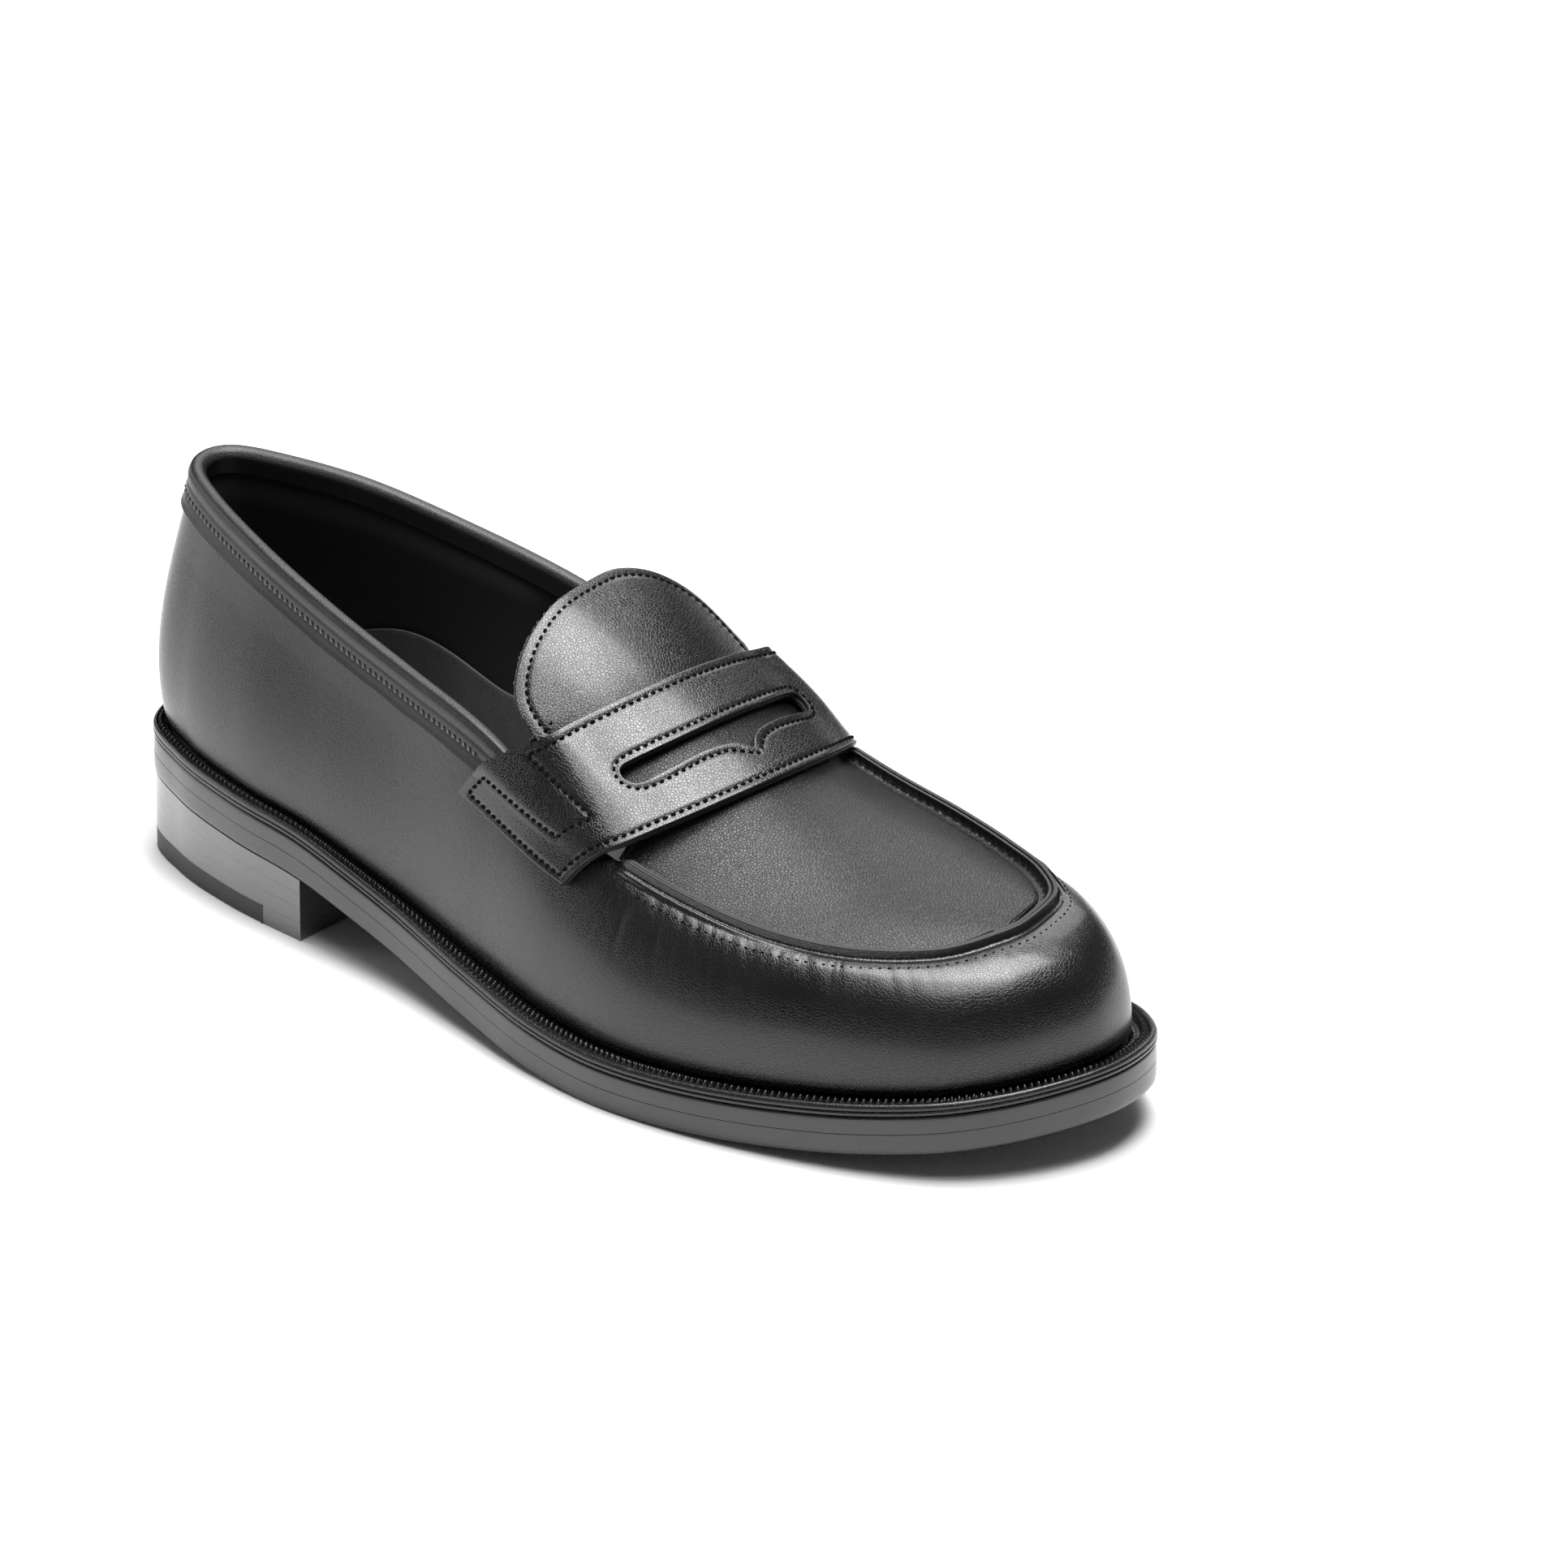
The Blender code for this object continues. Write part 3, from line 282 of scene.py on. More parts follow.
# Upper face of the instep: each row is an outer, an inner and a middle point, fold to toe.
TOP_ROWS = np.array([
    [(147.6, 32.9, 72.5), (154.5, -42.0, 72.8), (160.8, -4.5, 82.3)],
    [(162.5, 35.5, 62.8), (169.0, -42.6, 64.8), (177.3, -4.0, 73.4)],
    [top_edge(1, 177), top_edge(-1, 183.5), (193.0, -3.2, 64.6)],
    [top_edge(1, 190), top_edge(-1, 196), (206.0, -2.5, 59.6)],
    [top_edge(1, 205), top_edge(-1, 209), (219.0, -2.8, 56.2)],
    [top_edge(1, 222), top_edge(-1, 223), (233.0, -3.2, 53.8)],
    [top_edge(1, 238), top_edge(-1, 238), (246.0, -4.0, 52.6)],
    [top_edge(1, 252), top_edge(-1, 250), (257.0, -5.5, 51.8)],
    [top_edge(1, 261), top_edge(-1, 259), (263.6, -6.0, 51.0)],
    [top_edge(1, 266.5), top_edge(-1, 264.5), (268.2, -6.0, 50.2)],
], float)


def top(v, t):
    """Instep surface: v 0 at the tongue fold, 2 at the strap's front, 9 at the toe; t 0 outer to 1 inner."""
    r = open_spline(TOP_ROWS, v)
    t = np.atleast_1d(np.asarray(t, float))[None, :, None]
    lo, hi, mid = r[:, None, 0], r[:, None, 1], r[:, None, 2]
    return lo + (hi - lo) * t + 4 * t * (1 - t) * (mid - (lo + hi) / 2)


def top_at(v, t):
    """Instep surface at scattered (v, t)."""
    r = open_spline(TOP_ROWS, v)
    t = np.asarray(t, float)[:, None]
    return r[:, 0] + (r[:, 1] - r[:, 0]) * t + 4 * t * (1 - t) * (r[:, 2] - (r[:, 0] + r[:, 1]) / 2)


# ---------------------------------------------------------------- mesh helpers

def world(p):
    """World metres of points (a, b, z) in mm."""
    p = np.asarray(p, float)
    return np.stack([MID_B - p[..., 1], LENGTH / 2 - p[..., 0], p[..., 2]], axis=-1) / 1000.0


def mesh_piece(name, points, faces, mats, which=None, weld=0.0):
    """Mesh object from points in mm, shaded smooth except across sharp corners."""
    me = bpy.data.meshes.new(name)
    me.from_pydata(world(points).tolist(), [], faces)
    for m in mats:
        me.materials.append(m)
    if which is not None:
        me.polygons.foreach_set("material_index", np.asarray(which, np.int32))
    bm = bmesh.new()
    bm.from_mesh(me)
    if weld > 0:
        bmesh.ops.remove_doubles(bm, verts=bm.verts, dist=weld / 1000.0)
    bmesh.ops.recalc_face_normals(bm, faces=bm.faces)
    for f in bm.faces:
        f.smooth = True
    bm.to_mesh(me)
    bm.free()
    me.set_sharp_from_angle(angle=math.radians(55))
    ob = bpy.data.objects.new(name, me)
    bpy.context.scene.collection.objects.link(ob)
    return ob


def quads(rows, cols, wrap=False, wrap_rows=False):
    """Faces of a grid of points stored row by row; wrap joins its last column to its first."""
    i = np.arange(rows if wrap_rows else rows - 1)[:, None]
    j = np.arange(cols if wrap else cols - 1)[None, :]
    k, m = (j + 1) % cols, (i + 1) % rows
    return np.stack([i * cols + j, i * cols + k, m * cols + k, m * cols + j], axis=-1).reshape(-1, 4)


def edge_rows(g, steps, start=True, end=True):
    """Rows added at distances steps (mm) inside the first and last rows of a stack of points."""
    head, tail = [g[0]], [g[-1]]
    for on, rows, a, b in ((start, head, g[0], g[1]), (end, tail, g[-1], g[-2])):
        if on:
            d = np.linalg.norm((b - a)[..., :3], axis=-1, keepdims=True)
            rows += [a + (b - a) * np.clip(s / np.maximum(d, 1e-6), 0, 0.9) for s in steps]
    return np.array(head + list(g[1:-1]) + tail[::-1])


BEVEL_STEPS = np.array([0.12, 0.4, 1.0])


def panel(name, face, thick, mats, bevel=0.35, wrap=False, open_rows=(True, True), nrm=None, relief=None):
    """Solid leather sheet under a grid of points, with softly rounded cut edges.

    open_rows says which of the first and last rows are cut edges; one that isn't is welded to itself.
    The first and last columns are cut edges unless wrap joins them. The second material is the cut edge's.
    """
    n = grid_normals(face, wrap) if nrm is None else nrm
    lift = np.zeros(face.shape[:2]) if relief is None else relief
    g = np.concatenate([face, n, lift[..., None]], axis=-1)
    steps = BEVEL_STEPS * bevel
    g = edge_rows(g, steps, *open_rows)
    dr = np.full(g.shape[0], bevel)
    if open_rows[0]:
        dr[:4] = np.r_[0, steps]
    if open_rows[1]:
        dr[-4:] = np.r_[0, steps][::-1]
    dc = np.full(g.shape[1], bevel)
    if not wrap:
        g = np.swapaxes(edge_rows(np.swapaxes(g, 0, 1), steps), 0, 1)
        dc = np.full(g.shape[1], bevel)
        dc[:4], dc[-4:] = np.r_[0, steps], np.r_[0, steps][::-1]
    d = np.minimum(dr[:, None], dc[None, :])
    depth = bevel - np.sqrt(np.maximum(bevel ** 2 - (bevel - d) ** 2, 0))
    p, n, lift = g[..., :3], g[..., 3:6], g[..., 6:]
    upper = p + n * (lift - depth[..., None])
    lower = p - n * (thick - depth)[..., None]
    rows, cols = d.shape
    f = quads(rows, cols, wrap)
    size = rows * cols
    faces = [f, f[:, ::-1] + size]
    grid = np.arange(size).reshape(rows, cols)
    walls = [grid[k] for k in (0, -1) if open_rows[k]]
    if not wrap:
        walls += [grid[:, 0], grid[:, -1]]
    side = []
    for line in walls:
        pair = np.c_[line, np.roll(line, -1)] if wrap else np.c_[line[:-1], line[1:]]
        side.append(np.c_[pair[:, 0], pair[:, 1], pair[:, 1] + size, pair[:, 0] + size])
    side = np.concatenate(side)
    rim = np.any(d.reshape(-1)[f] < bevel * 0.3, axis=1).astype(int)
    which = np.r_[rim, rim, np.ones(len(side), int)]
    pts = np.concatenate([upper.reshape(-1, 3), lower.reshape(-1, 3)])
    return mesh_piece(name, pts, np.concatenate(faces + [side]).tolist(), mats, which, weld=0.002)


def sweep(name, rings, mats):
    """Closed ring: each row of rings is one line round the shoe, and the rows close on themselves."""
    g = np.asarray(rings)
    return mesh_piece(name, g.reshape(-1, 3), quads(len(g), g.shape[1], True, True).tolist(), mats)


def sample(g, r, c):
    """Smooth value of a fine grid at fractional rows r and columns c."""
    rows, cols = g.shape[:2]
    r, c = np.clip(r, 0, rows - 1.001), np.clip(c, 0, cols - 1.001)
    i, j = r.astype(int), c.astype(int)

    def weights(t):
        return ((-t + 2 * t * t - t ** 3) / 2, (2 - 5 * t * t + 3 * t ** 3) / 2,
                (t + 4 * t * t - 3 * t ** 3) / 2, (t ** 3 - t * t) / 2)
    wr, wc = weights(r - i), weights(c - j)
    out = 0.0
    for m in range(4):
        for n in range(4):
            k, q = np.clip(i + m - 1, 0, rows - 1), np.clip(j + n - 1, 0, cols - 1)
            out = out + (wr[m] * wc[n])[..., None] * g[k, q]
    return out


def even(path, step, closed=False):
    """Path resampled at even steps; columns past the third ride along."""
    p = np.concatenate([path, path[:1]]) if closed else path
    d = run_along(p[:, :3])
    q = np.linspace(0, d[-1], max(2, int(round(d[-1] / step))) + 1)
    q = q[:-1] if closed else q
    return np.stack([np.interp(q, d, p[:, k]) for k in range(p.shape[1])], axis=1)


def near(points, path):
    """Distance from each point to a path of closely spaced points."""
    flat = points.reshape(-1, 3)
    out = np.empty(len(flat))
    for k in range(0, len(flat), 4000):
        part = flat[k:k + 4000]
        gap = np.sum(part ** 2, 1)[:, None] + np.sum(path ** 2, 1)[None] - 2 * part @ path.T
        out[k:k + 4000] = np.sqrt(np.maximum(gap.min(axis=1), 0))
    return out.reshape(points.shape[:-1])


def channel(points, paths, depth, width):
    """Relief of a leather face pulled down along rows of stitching."""
    out = np.zeros(points.shape[:-1])
    for path in paths:
        d = near(points, even(path[:, :3], 0.5))
        out = np.minimum(out, -depth * np.exp(-(d / width) ** 2))
    return out


CAPSULE = [(-1.0, 0.0), (-0.86, 0.62), (-0.5, 1.0), (0.0, 1.08), (0.5, 1.0), (0.86, 0.62), (1.0, 0.0)]


def stitches(name, rows, mat, pitch=STITCH, length=1.55, radius=THREAD_R, slant=0.0, dip=0.34, turns=7):
    """Rows of separate stitches in one mesh; each row is a path of (point, normal) that they lie along."""
    pts, faces, base = [], [], 0
    rng = np.random.default_rng(SEED)
    around = np.linspace(0, 2 * math.pi, turns, endpoint=False)
    for path, closed in rows:
        q = even(path, pitch, closed)
        mids = q if closed else (q[:-1] + q[1:]) / 2
        ahead = np.roll(q, -1, axis=0) - np.roll(q, 1, axis=0) if closed else q[1:] - q[:-1]
        for m, t in zip(mids, ahead):
            n = unit(m[3:6])
            t = unit(t[:3] - n * np.dot(t[:3], n))
            b = np.cross(n, t)
            turn = math.radians(slant + rng.normal(0, 2.5))
            t, b = t * math.cos(turn) + b * math.sin(turn), b * math.cos(turn) - t * math.sin(turn)
            half = length / 2 * rng.uniform(0.94, 1.05)
            for x, r in CAPSULE:
                c = m[:3] + t * x * half - n * dip * x * x
                for w in around:
                    pts.append(c + (b * math.cos(w) + n * math.sin(w) * 0.9) * radius * r)
            faces += (quads(len(CAPSULE), turns, True) + base).tolist()
            base += len(CAPSULE) * turns
    return mesh_piece(name, np.array(pts), faces, [mat], weld=0.001)


# ---------------------------------------------------------------- materials

def tint(rgb, k):
    """Colour made k times as bright, as RGBA."""
    return tuple(min(1.0, c * k) for c in rgb) + (1.0,)


class Look:
    """Small builder for one procedural material."""

    def __init__(self, name):
        self.mat = bpy.data.materials.new(name)
        self.mat.use_nodes = True
        self.tree = self.mat.node_tree
        self.bsdf = self.tree.nodes["Principled BSDF"]
        self.where = self.add("ShaderNodeTexCoord").outputs["Object"]

    def add(self, kind, **settings):
        node = self.tree.nodes.new(kind)
        for key, value in settings.items():
            setattr(node, key, value)
        return node

    def link(self, a, b):
        self.tree.links.new(a, b)

    def noise(self, scale, detail=3.0, rough=0.55, stretch=None):
        node = self.add("ShaderNodeTexNoise")
        node.inputs["Scale"].default_value = scale
        node.inputs["Detail"].default_value = detail
        node.inputs["Roughness"].default_value = rough
        self.link(self.place(stretch), node.inputs["Vector"])
        return node.outputs["Fac"]

    def cells(self, scale):
        """Distance to the nearest edge of a small cell."""
        node = self.add("ShaderNodeTexVoronoi", feature="DISTANCE_TO_EDGE")
        node.inputs["Scale"].default_value = scale
        self.link(self.where, node.inputs["Vector"])
        return node.outputs["Distance"]

    def place(self, stretch):
        if stretch is None:
            return self.where
        node = self.add("ShaderNodeMapping")
        node.inputs["Scale"].default_value = stretch
        self.link(self.where, node.inputs["Vector"])
        return node.outputs["Vector"]

    def ramp(self, value, lo, hi, out_lo, out_hi):
        node = self.add("ShaderNodeMapRange")
        for key, number in (("From Min", lo), ("From Max", hi), ("To Min", out_lo), ("To Max", out_hi)):
            node.inputs[key].default_value = number
        self.link(value, node.inputs["Value"])
        return node.outputs["Result"]

    def math(self, op, a, b):
        node = self.add("ShaderNodeMath", operation=op)
        for slot, value in zip(node.inputs, (a, b)):
            if isinstance(value, (int, float)):
                slot.default_value = value
            else:
                self.link(value, slot)
        return node.outputs["Value"]

    def colour(self, value, dark, light):
        node = self.add("ShaderNodeMix", data_type="RGBA")
        node.inputs["A"].default_value = dark
        node.inputs["B"].default_value = light
        self.link(value, node.inputs["Factor"])
        self.link(node.outputs["Result"], self.bsdf.inputs["Base Color"])

    def roughness(self, value):
        self.link(value, self.bsdf.inputs["Roughness"])

    def bump(self, value, height_mm, strength=1.0, after=None):
        node = self.add("ShaderNodeBump")
        node.inputs["Strength"].default_value = strength
        node.inputs["Distance"].default_value = height_mm / 1000.0
        self.link(value, node.inputs["Height"])
        if after is not None:
            self.link(after, node.inputs["Normal"])
        self.link(node.outputs["Normal"], self.bsdf.inputs["Normal"])
        return node.outputs["Normal"]

    def set(self, **values):
        for key, value in values.items():
            self.bsdf.inputs[key.replace("_", " ")].default_value = value
        return self.mat


def calf(name, rgb, rough, grain=0.05, cell=1500.0, coat=0.12, vary=0.1, spec=0.55):
    """Finished calf: fine creased grain, slight unevenness of colour and polish."""
    look = Look(name)
    cloud = look.noise(38.0, 4.0)
    look.colour(look.ramp(cloud, 0.35, 0.68, 0.0, 1.0), tint(rgb, 0.8), tint(rgb, 1.3))
    fine = look.noise(cell * 1.9, 2.0)
    pores = look.ramp(look.cells(cell), 0.0, 0.16, 0.0, 1.0)
    look.roughness(look.math("ADD", look.ramp(cloud, 0.3, 0.7, rough - vary / 2, rough + vary / 2),
                             look.math("MULTIPLY", look.math("SUBTRACT", 0.7, pores), 0.08)))
    n = look.bump(look.math("ADD", pores, look.math("MULTIPLY", fine, 0.9)), grain, 1.0)
    look.bump(look.noise(170.0, 3.0), 0.1, 0.35, after=n)
    return look.set(Coat_Weight=coat, Coat_Roughness=0.2, Specular_IOR_Level=spec)


def matt(name, rgb, rough, scale=900.0, height=0.06, stretch=None, sheen=0.0, spread=0.25):
    """Unpolished surface: nap, fibre or moulded texture."""
    look = Look(name)
    cloud = look.noise(60.0, 4.0)
    fine = look.noise(scale, 4.0, 0.65, stretch)
    look.colour(look.ramp(look.math("ADD", cloud, fine), 0.75, 1.25, 0.0, 1.0),
                tint(rgb, 1 - spread), tint(rgb, 1 + spread))
    look.roughness(look.ramp(fine, 0.3, 0.7, rough - 0.06, min(1.0, rough + 0.06)))
    look.bump(fine, height)
    if sheen:
        look.set(Sheen_Weight=sheen, Sheen_Roughness=0.5)
    return look.mat


def edge_wax(name, rgb, rough, coat=0.25, lines=(30.0, 30.0, 2200.0), spec=0.6):
    """Sole edge: leather cut, inked and burnished, with faint lines along its layers."""
    look = Look(name)
    cloud = look.noise(45.0, 4.0)
    layer = look.noise(1.0, 3.0, 0.6, lines)
    mixed = look.math("ADD", cloud, layer)
    look.colour(look.ramp(mixed, 0.7, 1.3, 0.0, 1.0), tint(rgb, 0.75), tint(rgb, 1.35))
    look.roughness(look.math("ADD", look.ramp(cloud, 0.3, 0.7, rough - 0.06, rough + 0.08),
                             look.math("MULTIPLY", look.math("SUBTRACT", layer, 0.5), 0.25)))
    n = look.bump(layer, 0.05, 0.7)
    look.bump(look.noise(500.0, 3.0), 0.03, 0.6, after=n)
    return look.set(Coat_Weight=coat, Coat_Roughness=0.25, Specular_IOR_Level=spec)


def twisted(name, rgb, rough, spec=0.5):
    """Waxed thread: fine slanted strands."""
    look = Look(name)
    strand = look.add("ShaderNodeTexWave", wave_type="BANDS", bands_direction="DIAGONAL")
    strand.inputs["Scale"].default_value = 900.0
    strand.inputs["Distortion"].default_value = 1.0
    look.link(look.where, strand.inputs["Vector"])
    look.colour(strand.outputs["Fac"], tint(rgb, 0.6), tint(rgb, 1.4))
    look.roughness(look.ramp(look.noise(300.0), 0.3, 0.7, rough - 0.05, rough + 0.1))
    look.bump(strand.outputs["Fac"], 0.05)
    return look.set(Specular_IOR_Level=spec)


def metal(name, rgb, rough):
    """Brushed metal."""
    look = Look(name)
    scratch = look.noise(700.0, 3.0, 0.6, (1.0, 6.0, 1.0))
    look.colour(look.noise(80.0), tint(rgb, 0.85), tint(rgb, 1.1))
    look.roughness(look.ramp(scratch, 0.3, 0.7, rough - 0.08, rough + 0.12))
    look.bump(scratch, 0.02)
    return look.set(Metallic=1.0)


BLACK = (0.0042, 0.0038, 0.0038)
M = {
    "calf": calf("calf_black", BLACK, 0.29, grain=0.028, cell=1350.0, coat=0.3),
    "apron": calf("calf_apron", BLACK, 0.40, grain=0.05, cell=1350.0, coat=0.06, spec=0.38),
    "strap": calf("calf_polished", (0.005, 0.0045, 0.0044), 0.27, grain=0.04, cell=1350.0, coat=0.35),
    "band": calf("calf_binding", (0.010, 0.0096, 0.0098), 0.42, grain=0.03, coat=0.08),
    "cut": matt("cut_edge", (0.007, 0.008, 0.0105), 0.55, 1200.0, 0.05),
    "raw": matt("seam_edge", (0.03, 0.028, 0.028), 0.6, 1500.0, 0.09),
    "welt": calf("welt_calf", (0.008, 0.0076, 0.008), 0.26, grain=0.02, cell=2200.0, coat=0.2),
    "sole": edge_wax("sole_edge", (0.012, 0.0115, 0.012), 0.32, coat=0.4),
    "heel": edge_wax("heel_edge", (0.032, 0.032, 0.036), 0.30, coat=1.0, lines=(40.0, 40.0, 900.0),
                     spec=1.0),
    "rubber": matt("heel_rubber_black", (0.022, 0.020, 0.019), 0.5, 1600.0, 0.05),
    "lining": matt("lining_calf", (0.006, 0.005, 0.0046), 0.8, 1500.0, 0.04),
    "sock": matt("sock_leather", (0.075, 0.077, 0.08), 0.65, 1300.0, 0.05),
    "suede": matt("suede_black", (0.03, 0.028, 0.027), 0.95, 1800.0, 0.2, sheen=0.4),
    "thread": twisted("waxed_thread", (0.003, 0.0026, 0.0026), 0.85, 0.12),
    # black thread painted light grey: a painted highlight standing for the shine on the topline's stitches
    "thread_painted_highlight": twisted("waxed_thread_painted_highlight", (0.15, 0.13, 0.12), 0.5),
    "cork": matt("granulated_cork", (0.32, 0.19, 0.10), 0.9, 500.0, 0.3, spread=0.6),
    "board": matt("insole_board", (0.42, 0.30, 0.19), 0.8, 900.0, 0.08),
    "canvas": matt("rib_canvas", (0.55, 0.50, 0.40), 0.9, 1400.0, 0.15, stretch=(1.0, 1.0, 3.0)),
    "stiffener": matt("fibre_stiffener", (0.46, 0.39, 0.28), 0.85, 1100.0, 0.1, stretch=(1.0, 3.0, 1.0)),
    "foam": matt("pad_foam", (0.5, 0.49, 0.46), 0.95, 2500.0, 0.25),
    "steel": metal("shank_steel", (0.55, 0.55, 0.56), 0.35),
}


# ---------------------------------------------------------------- upper

def ridge_weight(a, b):
    """1 along the raised apron seam, 0 along the topline and under the strap."""
    return smooth((np.asarray(a) - np.where(np.asarray(b) > 0, 177.0, 180.5)) / 6.0)


def ring_places():
    """Places round the shoe, closer together along the apron seam where the leather is gathered."""
    lo, hi = place(1, 172), place(-1, 178)
    return np.r_[np.linspace(0, lo, 150, endpoint=False), np.linspace(lo, hi, 560, endpoint=False),
                 np.linspace(hi, 1, 150, endpoint=False)]


def gathers(at, drop):
    """Small folds of the wall leather running down from the apron seam."""
    rng = np.random.default_rng(SEED)
    s = stations(at)
    run = run_along(s[:, 2:5])
    w = ridge_weight(s[:, 2], s[:, 3])
    first, last = run[w > 0.02][0], run[w > 0.02][-1]
    out = np.zeros(drop.shape)
    x = first + 1.0
    while x < last:
        from_strap = (x - first) / (last - first)
        strong = 0.2 * math.exp(-from_strap * 4.0) + 0.04 + 0.08 * math.exp(-(1 - from_strap) * 5)
        deep = strong * rng.uniform(0.3, 1.3)
        reach = (5.0 + 12.0 * math.exp(-from_strap * 3.0)) * rng.uniform(0.6, 1.35)
        wide = rng.uniform(0.6, 1.5)
        lean = rng.normal(0.15, 0.22)
        centre = x + lean * drop
        fold = np.exp(-((run[None, :] - centre) / wide) ** 2)
        out -= deep * fold * np.exp(-(drop / reach) ** 2) * smooth((drop - 1.0) / 2.0)
        x += rng.uniform(1.4, 4.6)
    swell = 0.18 * np.exp(-((drop - 4.0) / 4.0) ** 2)
    return (out + swell) * w[None, :]


def upper_wall():
    """Wrap-round vamp and quarters: one piece, lasted under, its edge turned up along the apron."""
    at = ring_places()
    s = stations(at)
    w = ridge_weight(s[:, 2], s[:, 3])[:, None]
    out, e = outward(at), s[:, 2:5]
    foot = [over(feather(at, inset), MARGIN_Z) for inset in (9.0, 4.0, 0.8)]
    hs = np.r_[0.012, 0.035, 0.06, np.linspace(0.09, 0.72, 26)]
    # below the rim the rows keep their distance from it, so that the folds run evenly
    fine = np.array([drop_height(at, d) for d in np.linspace(13.0, 3.2, 22)])
    keep = fine.min(axis=1) > hs[-1]
    face = np.concatenate([wall(at, hs), wall(at, fine[keep])])
    plain = wall(at, np.array([drop_height(at, d) for d in (2.7, 2.1, 1.5, 0.9, 0.4, 0.05)]))
    turned = [e + out * x + UP * y for x, y in
              ((2.35, 0.1), (1.75, 0.16), (1.28, 0.55), (1.15, 1.15), (1.1, 1.8), (1.05, 2.6))]
    blend = [p * (1 - w) + t * w for p, t in zip(plain, turned)]
    rim = open_spline(np.array([face[-1]] + blend), np.linspace(0, 6, 19))[1:]
    grid = np.concatenate([foot, face, rim])
    # distance down from the rim; the lasting margin counts as far below it
    down = np.full(grid.shape[:2], 60.0)
    step = np.linalg.norm(np.diff(grid[3:], axis=0), axis=2)[::-1]
    down[3:] = np.vstack([np.zeros(len(at)), np.cumsum(step, axis=0)])[::-1]
    relief = gathers(at, np.maximum(down - RIDGE_H, 0))
    panel("upper_wall_leather", grid, 1.0, [M["calf"], M["raw"]], 0.3, wrap=True, relief=relief)


def topline_section(at):
    """Rows of the binding's face: hem, stitched leg, rolled bead, inside leg."""
    # (mm below the upper edge, mm out from the wall)
    leg = ((9.4, 1.2), (8.9, 1.12), (8.0, 0.92), (6.8, 0.8), (5.8, 0.6), (5.1, 0.72), (4.5, 0.84),
           (3.8, 0.84), (3.2, 0.74), (2.6, 0.84), (2.0, 1.0), (1.4, 1.08), (0.8, 1.06), (0.3, 0.92))
    roll = ((0.66, 0.45), (0.2, 0.9), (-0.5, 1.2), (-1.3, 1.25), (-2.2, 1.0), (-2.85, 0.4), (-3.25, -0.5))
    face = wall(at, np.array([drop_height(at, d) for d, _ in leg]))
    edge, out = wall(at, (1.0,))[0], edge_lean(at)
    rows = [f + out * lift for f, (_, lift) in zip(face, leg)]
    rows += [edge + out * x + UP * y for x, y in roll]
    rows += [face[k] - out * 3.35 for k in (10, 8, 5)]
    return np.array(rows)


def edge_lean(at):
    """Normals of the wall along its upper edge."""
    return grid_normals(wall(at, np.linspace(0.8, 1.0, 9)))[-1]


HEM_ROWS = 12      # rows of the binding that share the hem's waviness
HEM_STEP = 12      # places from one random wave of the hem to the next


def binding():
    """Thin folded strip over the topline, its hem slightly uneven, with its row of stitches."""
    at = np.linspace(place(-1, 148) - 1.0, place(1, 139), 520)
    g = topline_section(at)
    g = open_spline(g, np.linspace(0, len(g) - 1, 84))
    rng = np.random.default_rng(SEED)
    knots = np.arange(len(at) // HEM_STEP + 2)
    wave = np.interp(np.arange(len(at)), HEM_STEP * knots, rng.uniform(-0.25, 0.25, len(knots)))
    down = unit(g[0] - g[6]) * wave[:, None]
    for k in range(HEM_ROWS):
        g[k] += down * (1 - k / HEM_ROWS) ** 2
    panel("topline_binding_leather", g, 0.5, [M["band"], M["cut"]], 0.16)
    row, n = open_spline(topline_section(at[::4]), (4.0,))[0], edge_lean(at[::4])
    path = np.c_[row + n * 0.3, n][3:-3]
    # the topline stitches take the black thread painted light grey, a painted highlight
    stitches("topline_stitches", [(path, False)], M["thread_painted_highlight"], pitch=2.1, length=1.35, radius=0.31,
             slant=35)


TOE_V = 6.5       # rows of the instep past this one close in on the toe


def apron_rim():
    """Rim of the apron, outer strap end round the toe to the inner strap end: (v, t, place)."""
    under = np.linspace(0.08, 1.8, 26)
    at = np.linspace(place(1, 178.5), place(-1, 185.0), 520)
    a = stations(at)[:, 2]
    inner = np.arange(len(at)) > int(np.argmax(a))
    last = len(TOP_ROWS) - 1
    v = np.where(inner, *(np.interp(a, TOP_ROWS[:, k, 0], np.arange(last + 1)) for k in (1, 0)))
    t = inner.astype(float)
    past = np.where(a > np.where(inner, TOP_ROWS[-1, 1, 0], TOP_ROWS[-1, 0, 0]))[0]
    v[past], t[past] = last, (np.arange(len(past)) + 0.5) / len(past)
    pad = 0 * under - 1      # no place on the wall: this stretch lies under the strap
    return np.r_[under, v, under[::-1]], np.r_[0.06 + 0 * under, t, 0.94 + 0 * under], np.r_[pad, at, pad]


def inside_rim(v, t, f):
    """Instep points a share f of the way from the rim (v, t) to the apron's middle line."""
    middle = np.where(v > TOE_V, TOE_V + (v - TOE_V) * 0.6, v)
    return top_at(v + (middle - v) * f, t + (0.5 - t) * f)


